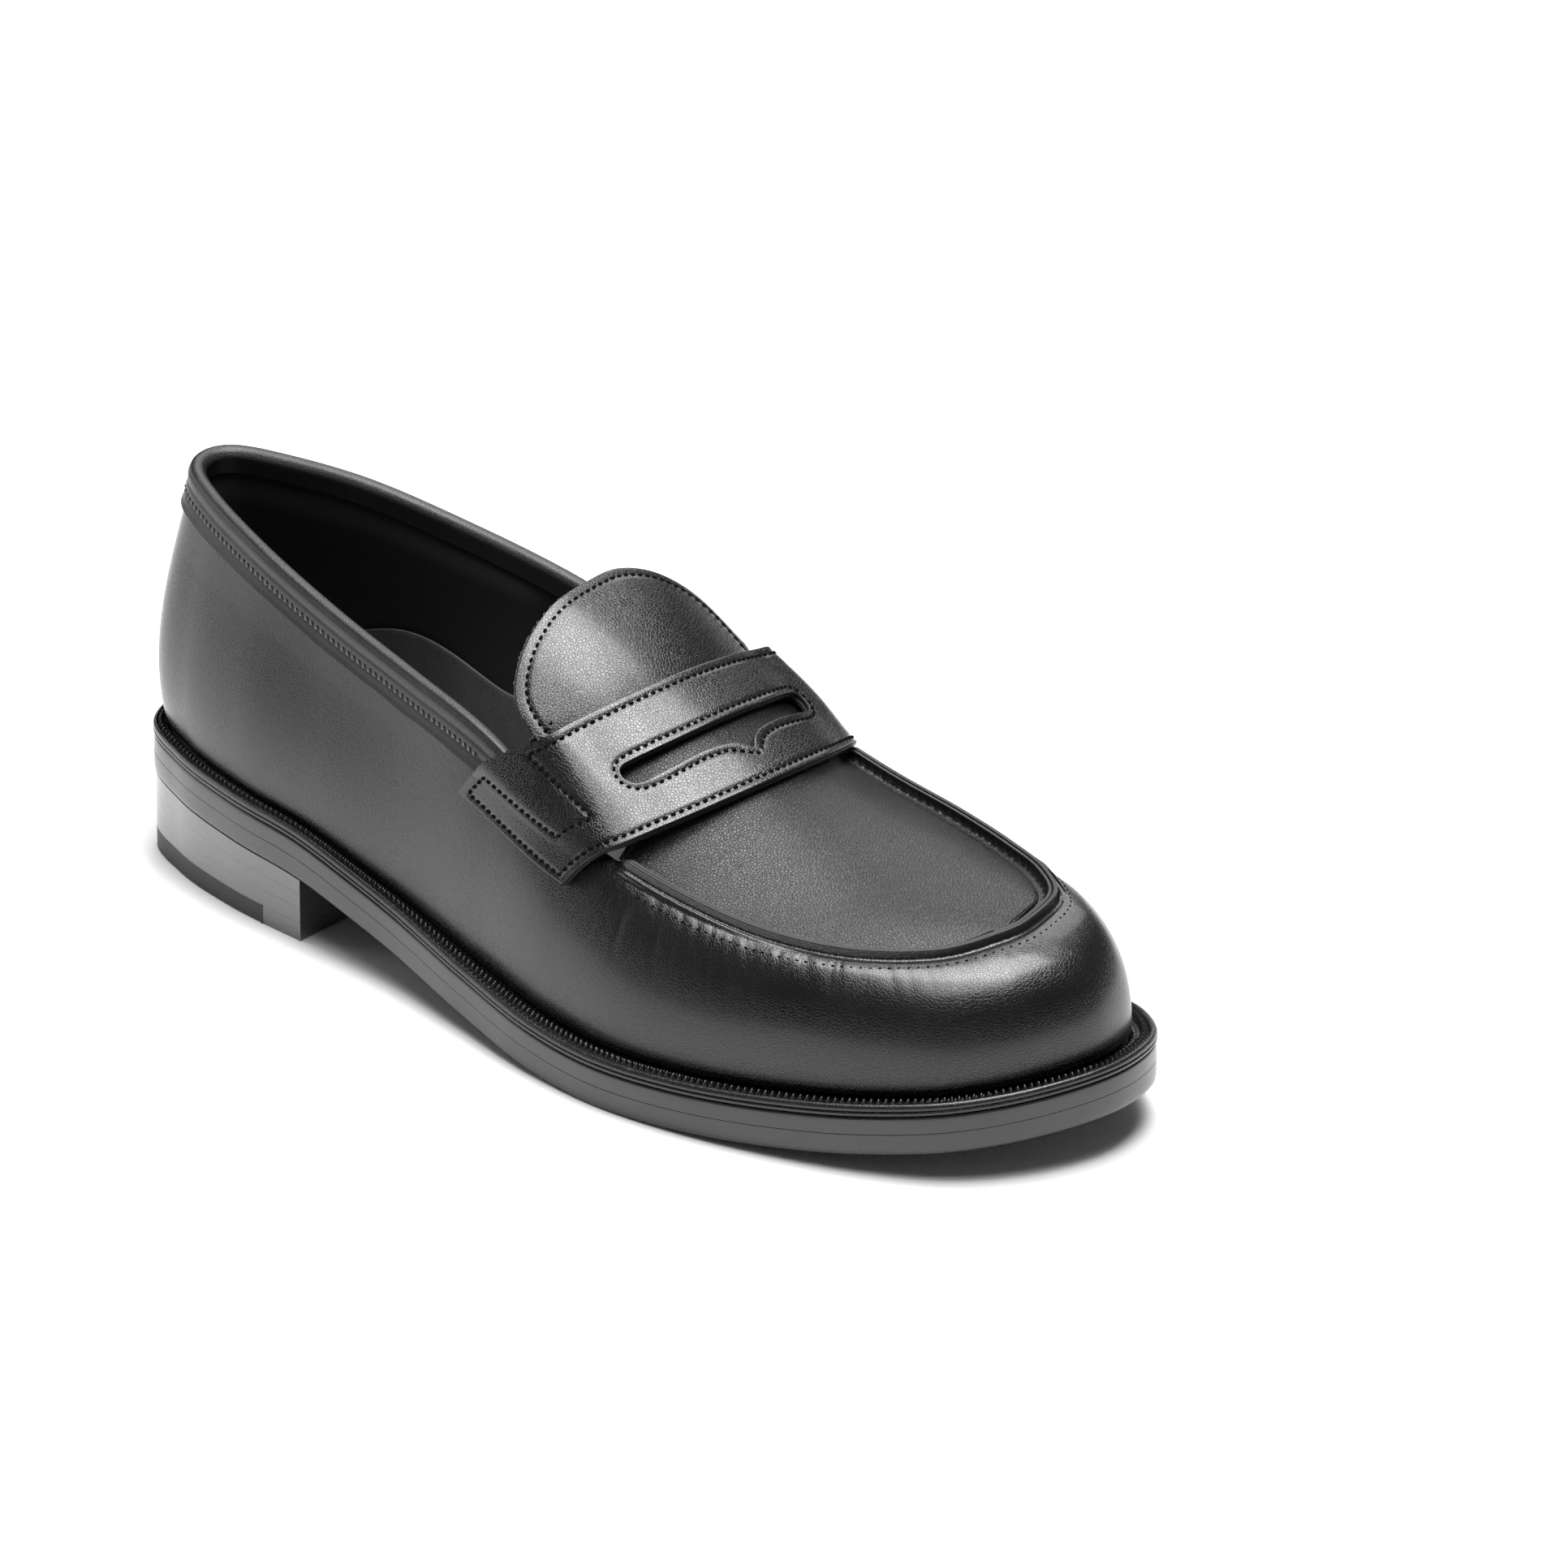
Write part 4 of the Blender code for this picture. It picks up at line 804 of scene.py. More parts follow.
def apron():
    """Flat top of the vamp, its edge turned up against the wall's edge and oversewn."""
    v, t, at = apron_rim()
    seam = at >= 0
    at = np.where(seam, at, 0.3)      # under the strap any place on the wall will do
    s = stations(at)
    w = (ridge_weight(s[:, 2], s[:, 3]) * seam)[:, None]
    out, e = outward(at), s[:, 2:5]
    rng = np.random.default_rng(SEED + 1)
    run = run_along(inside_rim(v, t, 0.02))
    drift = np.interp(run / 7.0, np.arange(400), rng.normal(0, 1, 400))
    bump = np.abs(np.sin(np.pi * run / 3.1 + 0.5 * drift))[:, None]
    turned = ((-1.03, 2.45), (-1.08, 1.85), (-1.14, 1.25), (-1.28, 0.72), (-1.7, 0.3), (-2.4, 0.14),
              (-3.3, 0.12))
    rows = []
    for k, (x, y) in enumerate(turned):
        tuck = out * 0.4 * bump * math.exp(-((k - 3.2) / 1.6) ** 2)
        edge = e + out * (x * w + (x - 0.1) * (1 - w)) - tuck * w + UP * (y * w + 0.05 * (1 - w))
        rows.append(np.where(seam[:, None], edge, inside_rim(v, t, 0.014 * k)))
    start = 0.10      # share where the turned edge gives way to the flat
    gap = rows[-1] - inside_rim(v, t, start)
    for f in np.r_[0.13, 0.16, 0.2, np.linspace(0.25, 1.0, 16)]:
        rows.append(inside_rim(v, t, f) + gap * (1 - (f - start) / (1 - start)) ** 2)
    grid = np.concatenate([open_spline(np.array(rows[:10]), np.linspace(0, 9, 28)), rows[10:]])
    grid[-1] = (grid[-1] + grid[-1][::-1]) / 2
    panel("apron_leather", grid, 0.95, [M["apron"], M["raw"]], 0.3, open_rows=(True, False))


def seam_threads():
    """Oversewn thread in the groove of the apron seam, and the gathering row outside it."""
    at = np.linspace(place(1, 183), place(-1, 189), 400)
    out = outward(at)
    high = np.c_[stations(at)[:, 2:5] - out * 1.5 + UP * 0.5, -out * 0.6 + UP]
    stitches("apron_seam_stitches", [(high, False)], M["thread"], pitch=3.1, length=2.0, radius=0.3, slant=28)
    w = wall_strip(at, drop_height(at, 5.6))
    n = grid_normals(w)[1]
    low = np.c_[w[1] + n * 0.2, n][4:-4]
    stitches("apron_gather_stitches", [(low, False)], M["thread"], pitch=2.3, length=1.2, radius=0.2)


def wall_strip(at, h):
    """Narrow grid of wall points, its middle row at height h."""
    return wall(at, np.array([h - 0.02, h, h + 0.02]))


# ---------------------------------------------------------------- strap

def side_corners(side):
    """Wall places of a strap end: rear low, rear high, front low, front high, as (place, height)."""
    if side > 0:
        return (0.2165, 0.676), (0.2341, 0.97), (0.2762, 0.624), (0.2925, 0.97)
    return (place(-1, 131), 0.68), (place(-1, 144), 0.97), (place(-1, 172.5), 0.60), (place(-1, 182.5), 0.97)


CROWN = np.array((0.03, 0.12, 0.28, 0.5, 0.72, 0.88, 0.97))   # shares of the way across the instep
SIDE_KNOTS = (0.0, 0.45, 0.9)                                 # shares of the way up a strap end


def strap_surface(v, s):
    """Underside of the strap: v 0 rear to 1 front, s -1 outer end, 0 middle, 1 inner end."""
    knots = []
    for side, shoulder in ((1, 1.7), (-1, 1.0)):
        low_rear, high_rear, low_front, high_front = np.array(side_corners(side))[:, :, None]
        for k, lift in zip(SIDE_KNOTS, (0.15, 0.45 + 0.6 * (1 - v), shoulder + 0.3 * (1 - v))):
            rear, front = low_rear + (high_rear - low_rear) * k, low_front + (high_front - low_front) * k
            at, h = rear * (1 - v) + front * v
            knots.append(offset(wall_strip(at, h), lift)[1])
    crown = offset(top(v * 2.0, CROWN), np.array([2.5, 1.75, 0.85, 0.5, 0.6, 1.05, 1.6]))
    rows = knots[:3] + [crown[:, k] for k in range(len(CROWN))] + knots[3:][::-1]
    return open_spline(np.array(rows), (s + 1) / 2 * (len(rows) - 1))


def strap_s(t):
    """s of the strap where it is a share t of the way across the instep."""
    last = len(CROWN) + 2 * len(SIDE_KNOTS) - 1
    return float(np.interp(t, CROWN, 2 * (np.arange(len(CROWN)) + len(SIDE_KNOTS)) / last - 1))


class StrapFace:
    """Smooth strap underside, with its normals, at any (s, v)."""

    def __init__(self):
        g = strap_surface(np.linspace(0, 1, 81), np.linspace(-1, 1, 401))
        self.grid = np.concatenate([g, grid_normals(g)], axis=-1)

    def at(self, sv, lift=0.0):
        sv = np.asarray(sv, float)
        q = sample(self.grid, (sv[..., 0] + 1) / 2 * 400, sv[..., 1] * 80)
        n = unit(q[..., 3:])
        return q[..., :3] + n * lift, n


MM = np.array([84.0, 36.0])   # rough size in mm of one unit of s and of v


def rounded(path, step, passes, hold=None):
    """Closed (s, v) loop resampled evenly in mm and softened; its point nearest hold goes there and stays."""
    p = even(np.c_[path * MM, np.zeros(len(path))], step, True)[:, :2]
    fixed = np.zeros(len(p), bool)
    if hold is not None:
        k = int(np.argmin(np.linalg.norm(p - hold * MM, axis=1)))
        fixed[k] = True
        p[k] = hold * MM
    for _ in range(passes):
        q = (np.roll(p, 1, axis=0) + 2 * p + np.roll(p, -1, axis=0)) / 4
        p = np.where(fixed[:, None], p, q)
    return p / MM


def slot_loop(grow=0.0, step=0.35):
    """Slot as (s, v): straight rear edge, round ends, two shallow swells and a point at the front."""
    half = [(0.5, 0.71), (0.475, 0.645), (0.445, 0.61), (0.40, 0.592), (0.34, 0.588), (0.27, 0.60),
            (0.20, 0.612), (0.165, 0.61), (0.143, 0.585), (0.13, 0.53), (0.13, 0.49), (0.138, 0.452),
            (0.158, 0.432), (0.20, 0.428), (0.34, 0.43), (0.5, 0.43)]
    loop = half + [(1 - t, v) for t, v in half[::-1][1:-1]]
    sv = np.array([(strap_s(t), v) for t, v in loop])
    sv = rounded(sv, step, 14, np.array([strap_s(0.5), 0.71]))
    if grow:
        flat = sv * MM
        sv = (flat + outside_normals(flat) * grow) / MM
    return sv


def outside_normals(loop):
    """Normals of a closed flat loop that point away from its middle."""
    n = loop_normals(loop)
    return n * np.sign(np.sum(n * (loop - loop.mean(axis=0))))


def strap_outer(count):
    """Strap border as (s, v), evenly spaced from the middle of its front edge."""
    p = np.array([(0, 1), (-1, 1), (-1, 0), (1, 0), (1, 1), (0, 1)], float)
    d = run_along(p * MM)
    q = np.linspace(0, d[-1], count, endpoint=False)
    return np.c_[np.interp(q, d, p[:, 0]), np.interp(q, d, p[:, 1])]


def strap_rows(face):
    """Rings of (s, v) from the slot's edge out to the strap's border."""
    inner = slot_loop(0.0, 0.3)
    # both loops start at the front and run towards the outer end
    inner = np.roll(inner, -int(np.argmax(inner[:, 1])), axis=0)
    if inner[3, 0] > inner[0, 0]:
        inner = np.roll(inner[::-1], 1, axis=0)
    outer = strap_outer(900)
    run_i = loop_share(inner)
    run_o = np.arange(len(outer)) / len(outer)
    # quarter points of both loops are matched, so that the rings stay tidy
    marks_i = [0.0, share_at(inner, run_i, -1), 0.5, share_at(inner, run_i, 1), 1.0]
    marks_o = [0.0, share_at(outer, run_o, -1), 0.5, share_at(outer, run_o, 1), 1.0]
    q = np.interp(run_o, marks_o, marks_i)
    closed = np.r_[run_i, 1.0]
    loop = np.concatenate([inner, inner[:1]])
    inner = np.c_[np.interp(q, closed, loop[:, 0]), np.interp(q, closed, loop[:, 1])]
    a, b = face.at(inner)[0], face.at(outer)[0]
    span = np.linalg.norm(b - a, axis=1)
    near_edge = (0.0, 0.55, 0.9, 1.25, 1.6, 1.95, 2.3, 2.7, 3.2)
    rows = [np.minimum(d / span, 0.35) for d in near_edge]
    far = [1 - share for share in rows[::-1]]
    lo, hi = rows[-1], far[0]
    rows += [lo + (hi - lo) * k for k in np.linspace(0, 1, 100)[1:-1]] + far
    return np.array([inner + (outer - inner) * f[:, None] for f in rows])


def loop_share(p):
    """Share of the way round a closed (s, v) loop at each of its points."""
    d = run_along(np.concatenate([p, p[:1]]) * MM)
    return d[:-1] / d[-1]


def share_at(loop, run, side):
    """Share of the way round where a loop passes its outer (-1) or inner (1) end."""
    s = loop[:, 0] * side
    return float(np.mean(run[s > s.max() - 0.01]))


# Half of the border stitching as (s, v): rear middle, round the pattern on an end, front middle.
STRAP_PATH = [(0.0, 0.06), (-0.56, 0.07), (-0.53, 0.70), (-0.74, 0.72), (-0.76, 0.08), (-0.955, 0.07),
              (-0.96, 0.935), (-0.6, 0.935), (0.0, 0.935)]


def strap_paths(face, lift):
    """Border row with its pattern on the two ends, and the slot's row, as (point, normal)."""
    loop = STRAP_PATH + [(-s, v) for s, v in STRAP_PATH[::-1][1:-1]]
    border = rounded(np.array(loop), 0.8, 0)
    return [np.concatenate(face.at(sv, lift), axis=1) for sv in (border, slot_loop(1.9, 0.6))]


def strap():
    """Two layers of polished calf across the instep, with the slot and all its stitching."""
    face = StrapFace()
    sv = strap_rows(face)
    p, n = face.at(sv)
    panel("strap_backing_layer", p + n * (STRAP_T - 0.02), STRAP_T - 0.06, [M["cut"], M["cut"]], 0.25,
          wrap=True, nrm=n)
    lift = 2 * STRAP_T + 0.12
    skin = p + n * lift
    rows = strap_paths(face, lift)
    relief = channel(skin, rows, 0.26, 0.75)
    panel("strap_leather", skin, STRAP_T + 0.08, [M["strap"], M["cut"]], 0.4, wrap=True, nrm=n, relief=relief)
    border, slot = (raised(row, -0.04) for row in rows)
    stitches("strap_stitches", [(border, True)], M["thread"], pitch=2.2, length=1.55, radius=0.37)
    stitches("slot_stitches", [(slot, True)], M["thread"], pitch=2.1, length=1.45, radius=0.34)


def raised(path, by):
    """Path of (point, normal) moved along its normals."""
    return np.c_[path[:, :3] + path[:, 3:] * by, path[:, 3:]]


# ---------------------------------------------------------------- tongue

def tongue_grid(n, m):
    """Tongue between the strap's rear edge and its own rounded rear edge."""
    t = np.linspace(0.02, 0.98, n)
    root = top((-0.04,), t)[0] - np.array([0.6, 0, 0])
    rim = open_spline(TONGUE_EDGE, t * (len(TONGUE_EDGE) - 1))
    u = np.linspace(0, 1, m)[:, None, None]
    bow = UP * 1.6 * (4 * u * (1 - u)) * np.sin(np.pi * t)[None, :, None]
    return root * (1 - u) + rim * u + bow


def tongue():
    """Tongue with its edge stitching and bar tack, and the suede that lines it."""
    g = tongue_grid(150, 60)
    n = grid_normals(g)
    fine = np.concatenate([g, n], axis=-1)
    path = raised(edge_path(fine, STITCH_INSET), 0.05)
    relief = channel(g, [path], 0.24, 0.7)
    panel("tongue_leather", g, TONGUE_T - 0.1, [M["strap"], M["cut"]], 0.35, nrm=n, relief=relief)
    lines = [(raised(path, -0.04), False), (bar_tack(fine), False)]
    stitches("tongue_stitches", lines, M["thread"], length=1.55, radius=0.36)
    under = g - n * (TONGUE_T + 0.05)
    panel("tongue_suede", grown(under, 0.55), 0.75, [M["suede"], M["suede"]], 0.3)


def crossing(line, points, inset):
    """Point where the distance from the border first passes inset, going along a line of grid points."""
    k = int(np.argmax(line > inset))
    f = (inset - line[k - 1]) / (line[k] - line[k - 1]) if k else 0.0
    return points[max(k - 1, 0)] * (1 - f) + points[k] * f


def edge_path(fine, inset):
    """Line a fixed distance inside the tongue's free border, root to root."""
    p = fine[..., :3]
    border = np.concatenate([p[2:, 0], p[-1, 1:-1], p[2:, -1][::-1]])
    d = near(p, even(border, 0.4))
    rows, cols = d.shape
    lines = [(d[j, :cols // 2], fine[j]) for j in range(3, rows)]
    lines += [(d[rows // 2:, j][::-1], fine[::-1, j]) for j in range(cols)]
    lines += [(d[j, cols // 2:][::-1], fine[j, ::-1]) for j in range(3, rows)]
    return order_path(np.array([crossing(gap, q, inset) for gap, q in lines if gap.max() > inset]))


def order_path(pts):
    """Scattered points of one curve in order round the tongue, evenly spaced."""
    # in order of angle round a point forward of and below the tongue's middle
    c = pts[:, :3].mean(axis=0) + np.array([14.0, 0.0, -6.0])
    ang = np.arctan2(-(pts[:, 0] - c[0]) * 1.6 + (pts[:, 2] - c[2]), pts[:, 1] - c[1])
    q = even(pts[np.argsort(ang)], 0.9)
    for _ in range(10):
        q[1:-1] = (q[:-2] + 2 * q[1:-1] + q[2:]) / 4
    return q


def bar_tack(fine):
    """Short run of stitches set across the tongue near its outer root."""
    return raised(sample(fine, np.linspace(20, 19, 8), np.linspace(6.5, 14.5, 8)), -0.02)


def grown(g, by):
    """Grid widened a little past its borders, unevenly, as a torn suede edge is."""
    rng = np.random.default_rng(SEED + 2)
    g = g.copy()
    for edge, inner in ((g[:, 0], g[:, 2]), (g[:, -1], g[:, -3]), (g[-1], g[-3])):
        edge += unit(edge - inner) * (by + rng.uniform(-0.25, 0.3, len(edge)))[:, None]
    return g


# ---------------------------------------------------------------- lining and footbed

def counter_and_puff(at):
    """Two arrays: 1 where the heel counter lies, and 1 where the toe puff lies; 0 elsewhere."""
    a = stations(at)[:, 0]
    return smooth((96 - a) / 14.0), smooth((a - 228) / 14.0)


def lining_face(at, hs):
    """Grid of the lining under the wall, with room for the counter and the puff."""
    heel, toe = counter_and_puff(at)
    h = np.asarray(hs)[:, None]
    k = heel * smooth((0.92 - h) / 0.12) + toe * smooth((1.0 - h) / 0.06)
    return offset(wall(at, hs), -(UPPER_T + 0.35 + 1.7 * k))


def linings():
    """Quarter lining and vamp lining, meeting at the strap."""
    ring = np.linspace(0, 1, 361)[:-1]
    a = stations(ring)[:, 0]
    half = len(ring) // 2
    order = np.roll(ring - (ring >= 0.5), half)
    spans = {"quarter_lining": order[np.roll(a, half) < 156.2], "vamp_lining": ring[a > 156.4]}
    for name, at in spans.items():
        stand = 2.9 + 1.7 * np.maximum(*counter_and_puff(at))
        foot = [over(feather(at, inset), 14.6) for inset in (9.0 + 0 * stand, stand + 1.2)]
        grid = np.array(foot + list(lining_face(at, np.linspace(0.08, 0.945, 34))))
        panel(name + "_calf", grid, LINING_T - 0.1, [M["lining"], M["lining"]], 0.2)


def cup_top(a):
    """Height of the sock's turned-up rim above the floor."""
    return 46.0 + 10.0 * np.exp(-((a - 56.0) / 26.0) ** 2)


def heel_cup():
    """Rim of the heel sock, turned up against the quarter lining round the heel seat."""
    sole_gap = 19.6      # foot of the rim above the sole's underside
    ring = np.linspace(-0.5, 0.5, 361)[:-1]
    at = ring[stations(ring)[:, 0] < 104.0]
    a = stations(at)[:, 0]
    hs = np.linspace(0.02, 0.9, 60)
    deep = offset(wall(at, hs), -(UPPER_T + LINING_T + 0.75 + 1.7 * counter_and_puff(at)[0]))
    low = sole_z(a) + sole_gap
    fade = smooth((104.0 - a) / 16.0)
    rows = []
    for f in np.linspace(0, 1, 14):
        z = low + (np.maximum(cup_top(a) - low, 0.5) * fade + 0.6) * f
        rows.append([[np.interp(z[k], deep[:, k, 2], deep[:, k, c]) for c in range(3)]
                     for k in range(len(at))])
    panel("sock_rim_leather", np.array(rows), 0.7, [M["sock"], M["sock"]], 0.2)


def apron_lining():
    """Lining under the flat of the apron."""
    v, t, _ = apron_rim()
    rows = np.array([inside_rim(v, t, f) for f in np.linspace(0.16, 1.0, 14)])
    rows = rows - UP * (UPPER_T + 0.9)
    rows[-1] = (rows[-1] + rows[-1][::-1]) / 2
    panel("apron_lining_calf", rows, LINING_T - 0.1, [M["lining"], M["lining"]], 0.2, open_rows=(True, False))


def side_pairs(edge, back, front, n):
    """Matching outer and inner edge points (a, b) from the back to the front of a layer."""
    out = []
    for at, lims in ((FINE[:TIP + 1], (back[0], front[0])), (FINE[TIP:][::-1], (back[1], front[1]))):
        p = edge(at)
        d = run_along(p)
        ends = [0.0, d[-1]]
        for i, a in enumerate(lims):
            if a is not None:
                k = np.argmax(p[:, 0] > a)
                ends[i] = np.interp(a, p[k - 1:k + 1, 0], d[k - 1:k + 1])
        q = ends[0] + (ends[1] - ends[0]) * np.linspace(0, 1, n)
        out.append(np.c_[np.interp(q, d, p[:, 0]), np.interp(q, d, p[:, 1])])
    return out


def layer(name, edge, profile, mats, back=(None, None), front=(None, None), n=150, crown=0.0):
    """Flat layer of the bottom. profile runs up its edge: (inwards mm, height function of a).

    back and front say at which a the layer is cut off on its outer and its inner side; None leaves its tip.
    """
    lat, med = side_pairs(edge, back, front, n)
    apex0, apex1 = back[0] is None, front[0] is None
    if apex0:
        lat[0] = med[0] = (lat[0] + med[0]) / 2
    if apex1:
        lat[-1] = med[-1] = (lat[-1] + med[-1]) / 2
    loop = np.r_[lat, med[::-1][(1 if apex1 else 0):(-1 if apex0 else None)]]
    nrm, m = outside_normals(loop), len(loop)
    rings = []
    for inward, z in profile:
        p = loop - nrm * inward
        rings.append(np.c_[p, z(p[:, 0])])
    pts = np.concatenate(rings)
    faces = quads(len(rings), m, True).tolist()
    # each outer point's partner across the layer, and the two faces filled between them
    mate = [0 if (apex0 and i == 0) else m - i - (0 if apex0 else 1) for i in range(n)]
    if apex1:
        mate[n - 1] = n - 1
    across = 12
    extra, count = [], len(pts)
    for base in (0, (len(rings) - 1) * m):
        ids = np.zeros((n, across + 1), int)
        for i in range(n):
            a, b = pts[base + i], pts[base + mate[i]]
            ids[i, 0], ids[i, -1] = base + i, base + mate[i]
            for k in range(1, across):
                x = k / across
                rise = crown * 4 * x * (1 - x) * (1 if base else 0)
                extra.append(a + (b - a) * x + UP * rise)
                ids[i, k] = count
                count += 1
        for i in range(n - 1):
            for k in range(across):
                f = [ids[i, k], ids[i + 1, k], ids[i + 1, k + 1], ids[i, k + 1]]
                f = [int(v) for q, v in enumerate(f) if v not in f[:q]]   # a tip's two sides share a point
                if len(f) > 2:
                    faces.append(f)
    return mesh_piece(name, np.concatenate([pts, np.array(extra)]), faces, mats, weld=0.002)


def over_sole(profile):
    """Edge profile from (inwards mm, mm above the sole's underside)."""
    return [(inward, lambda a, h=h: sole_z(a) + h) for inward, h in profile]


def footbed():
    """Foam pad under the heel, and the sock over it."""
    def lift(h, share=1.0):
        return lambda a: sole_z(a) + h + 3.0 * smooth((96 - a) / 20.0) * share

    pad = over_sole([(0.9, SOCK_Z), (0.2, SOCK_Z + 0.3)])
    pad += [(0.0, lift(SOCK_Z, 0.5)), (0.5, lift(SOCK_Z - 0.5)), (1.6, lift(SOCK_Z - 0.2))]
    layer("heel_cushion", lambda at: feather(at, 8.0), pad, [M["foam"]], front=(88.0, 88.0), n=60, crown=0.1)
    sheet = [(inward, lift(SOCK_Z + h)) for inward, h in
             ((0.3, 0.2), (0.0, 0.35), (0.0, 0.95), (0.35, 1.2), (1.4, 1.2))]
    layer("sock_leather", lambda at: feather(at, 5.6), sheet, [M["sock"]], crown=-0.4)


# ---------------------------------------------------------------- sole, welt and heel

BARS = 375      # knurled bars of the welt, all round
PER_BAR = 8     # points along each bar


def welt_places():
    """Places evenly spaced by length round the outline, PER_BAR to each bar."""
    count = BARS * PER_BAR
    at = np.arange(count) / count
    p = outline(at)
    run = run_along(np.concatenate([p, p[:1]]))
    return np.interp(np.arange(count) / count * run[-1], run, np.r_[at, 1.0])


def welt():
    """Storm welt: knurled strip beside the upper, pricked row, rounded lip and a bead below it."""
    at = welt_places()
    width = welt_width(stations(at)[:, 0])
    phase = np.arange(len(at)) / PER_BAR
    rings = []

    def ring(u, z, wave=0.0, shift=0.0, inward=0.0):
        """One line round, z above the sole's underside, raised by bars of height wave.

        u is the share of the visible width from the upper (0) to the edge (1).
        """
        bar = 0.5 - 0.5 * np.cos(2 * math.pi * (phase + shift))
        q = outline(at, width * (1 - u) + inward)
        rings.append(over(q, z) + UP * (wave * bar ** 0.8)[:, None])
    for u, z in ((-1.6, 8.75), (-1.6, 12.3), (-0.35, 12.3)):
        ring(u, z)
    for k, u in enumerate(np.linspace(-0.12, 0.28, 6)):
        hump = math.sin(math.pi * (k + 0.3) / 5.6)
        ring(u, 11.1 + 0.2 * hump, 1.25 * hump, 0.5 + 0.4 * k / 6)
    ring(0.29, 11.3)
    for u, hump in ((0.31, 0.2), (0.35, 0.6), (0.40, 0.9), (0.46, 1.0), (0.52, 0.94), (0.58, 0.72),
                    (0.63, 0.45), (0.68, 0.12)):
        ring(u, 12.1, 1.75 * hump, 0.2)
    lip = ((0.70, 11.7), (0.72, 12.0), (0.735, 12.75), (0.77, 13.05), (0.81, 13.18), (0.87, 13.14),
           (0.93, 12.95), (0.975, 12.6), (1.0, 12.2), (1.0, 11.85), (0.985, 11.62))
    for u, z in lip:
        ring(u, z)
    # fine groove, bead, and the step over the midsole's rim
    for inward, z in ((0.35, 11.5), (0.4, 11.42), (0.3, 11.34), (0.1, 11.2), (0.02, 10.9), (0.06, 10.55),
                      (0.25, 10.3), (0.55, 10.12), (0.85, 10.05), (0.9, 8.75)):
        ring(1.0, z, inward=inward)
    ring(0.5, 8.75)
    sweep("welt_leather", rings, [M["welt"]])
    path = np.c_[over(outline(at, width * 0.62), 12.2), np.tile(UP, (len(at), 1))]
    stitches("welt_stitches", [(path[::4], True)], M["thread"], pitch=2.2, length=1.3, radius=0.24, dip=0.3)


def bottom():
    """Midsole with its rim, and outsole with its closed channel line underneath."""
    mid = [(6.0, 5.61), (0.05, 5.61), (0.03, 5.64), (0.03, 5.9), (0.04, 7.2), (0.08, 8.5), (0.14, 9.3),
           (0.26, 9.72), (0.45, 9.9), (0.68, 9.9), (0.8, 9.7), (0.83, 8.6), (6.0, 8.6)]
    out = [(9.0, 0.0), (7.2, 0.0), (6.9, 0.18), (6.5, 0.18), (6.2, 0.0), (1.2, 0.0), (0.55, 0.12), (0.2, 0.5),
           (0.04, 1.4), (0.0, 2.6), (0.0, 5.3), (0.01, 5.57), (0.04, 5.6), (6.0, 5.6)]
    for name, profile in (("midsole_leather", mid), ("outsole_leather", out)):
        layer(name, lambda at: outline(at, 0.1), over_sole(profile), [M["sole"]])


def heel_profile(low, high, start, round_off):
    """Edge of a heel layer between shares low and high of the sole's height, rounded below.

    start is the gap under the layer.
    """
    rows = [(round_off + 0.25, low, start), (round_off, low, start),
            (round_off * 0.3, low, start + round_off * 0.5), (0.0, low, start + round_off),
            (0.0, low, start + round_off + 0.2), (0.0, high, -0.25), (0.0, high, -0.05),
            (0.015, high, -0.01), (0.3, high, -0.01)]
    return [(inward, lambda a, f=f, g=g: f * sole_z(a) + g) for inward, f, g in rows]


def heel():
    """Lowest lift in rubber and leather, and three stacked lifts, all cut off at the breast."""
    def edge(at):
        return outline(at, 0.45)

    levels = (0.0, 0.28, 0.52, 0.76, 1.0)
    breast = (BREAST_A, BREAST_A)
    lowest = heel_profile(levels[0], levels[1], 0.0, 0.3)
    layer("heel_rubber_tip", edge, lowest, [M["rubber"]], front=(58.2, 28.2), n=60)
    layer("heel_top_leather", edge, lowest, [M["heel"]], back=(58.25, 28.25), front=breast, n=30)
    for k in (1, 2, 3):
        profile = heel_profile(levels[k], levels[k + 1], 0.01, 0.015)
        layer(f"heel_lift_{k}_leather", edge, profile, [M["heel"]], front=breast, n=70)


# ---------------------------------------------------------------- assembly

STANDS_FOR = {  # piece: CAD node, material slot
    "upper_wall_leather": ("upper_wall", "upper_leather"),
    "apron_leather": ("apron", "upper_leather"),
    "topline_binding_leather": ("topline_binding", "binding_leather"),
    "topline_stitches": ("topline_stitching", "thread"),
    "apron_seam_stitches": ("apron_seam_stitching", "thread"),
    "apron_gather_stitches": ("apron_gather_stitching", "thread"),
    "strap_leather": ("strap", "strap_leather"),
    "strap_backing_layer": ("strap_backing", "suede"),
    "strap_stitches": ("strap_stitching", "thread"),
    "slot_stitches": ("slot_stitching", "thread"),
    "quarter_lining_calf": ("quarter_lining", "lining_leather"),
    "vamp_lining_calf": ("vamp_lining", "lining_leather"),
    "apron_lining_calf": ("apron_lining", "lining_leather"),
    "heel_cushion": ("heel_pad", "foam"),
    "sock_leather": ("sock_liner", "sock_leather"),
    "sock_rim_leather": ("sock_liner", "sock_leather"),
    "welt_leather": ("welt", "welt_leather"),
    "welt_stitches": ("welt_stitching", "thread"),
    "midsole_leather": ("midsole", "sole_leather"),
    "outsole_leather": ("outsole", "sole_leather"),
    "heel_rubber_tip": ("heel_rubber", "rubber"),
    "heel_top_leather": ("heel_top_piece", "sole_leather"),
    "heel_lift_1_leather": ("heel_lift_1", "sole_leather"),
    "heel_lift_2_leather": ("heel_lift_2", "sole_leather"),
    "heel_lift_3_leather": ("heel_lift_3", "sole_leather"),
}
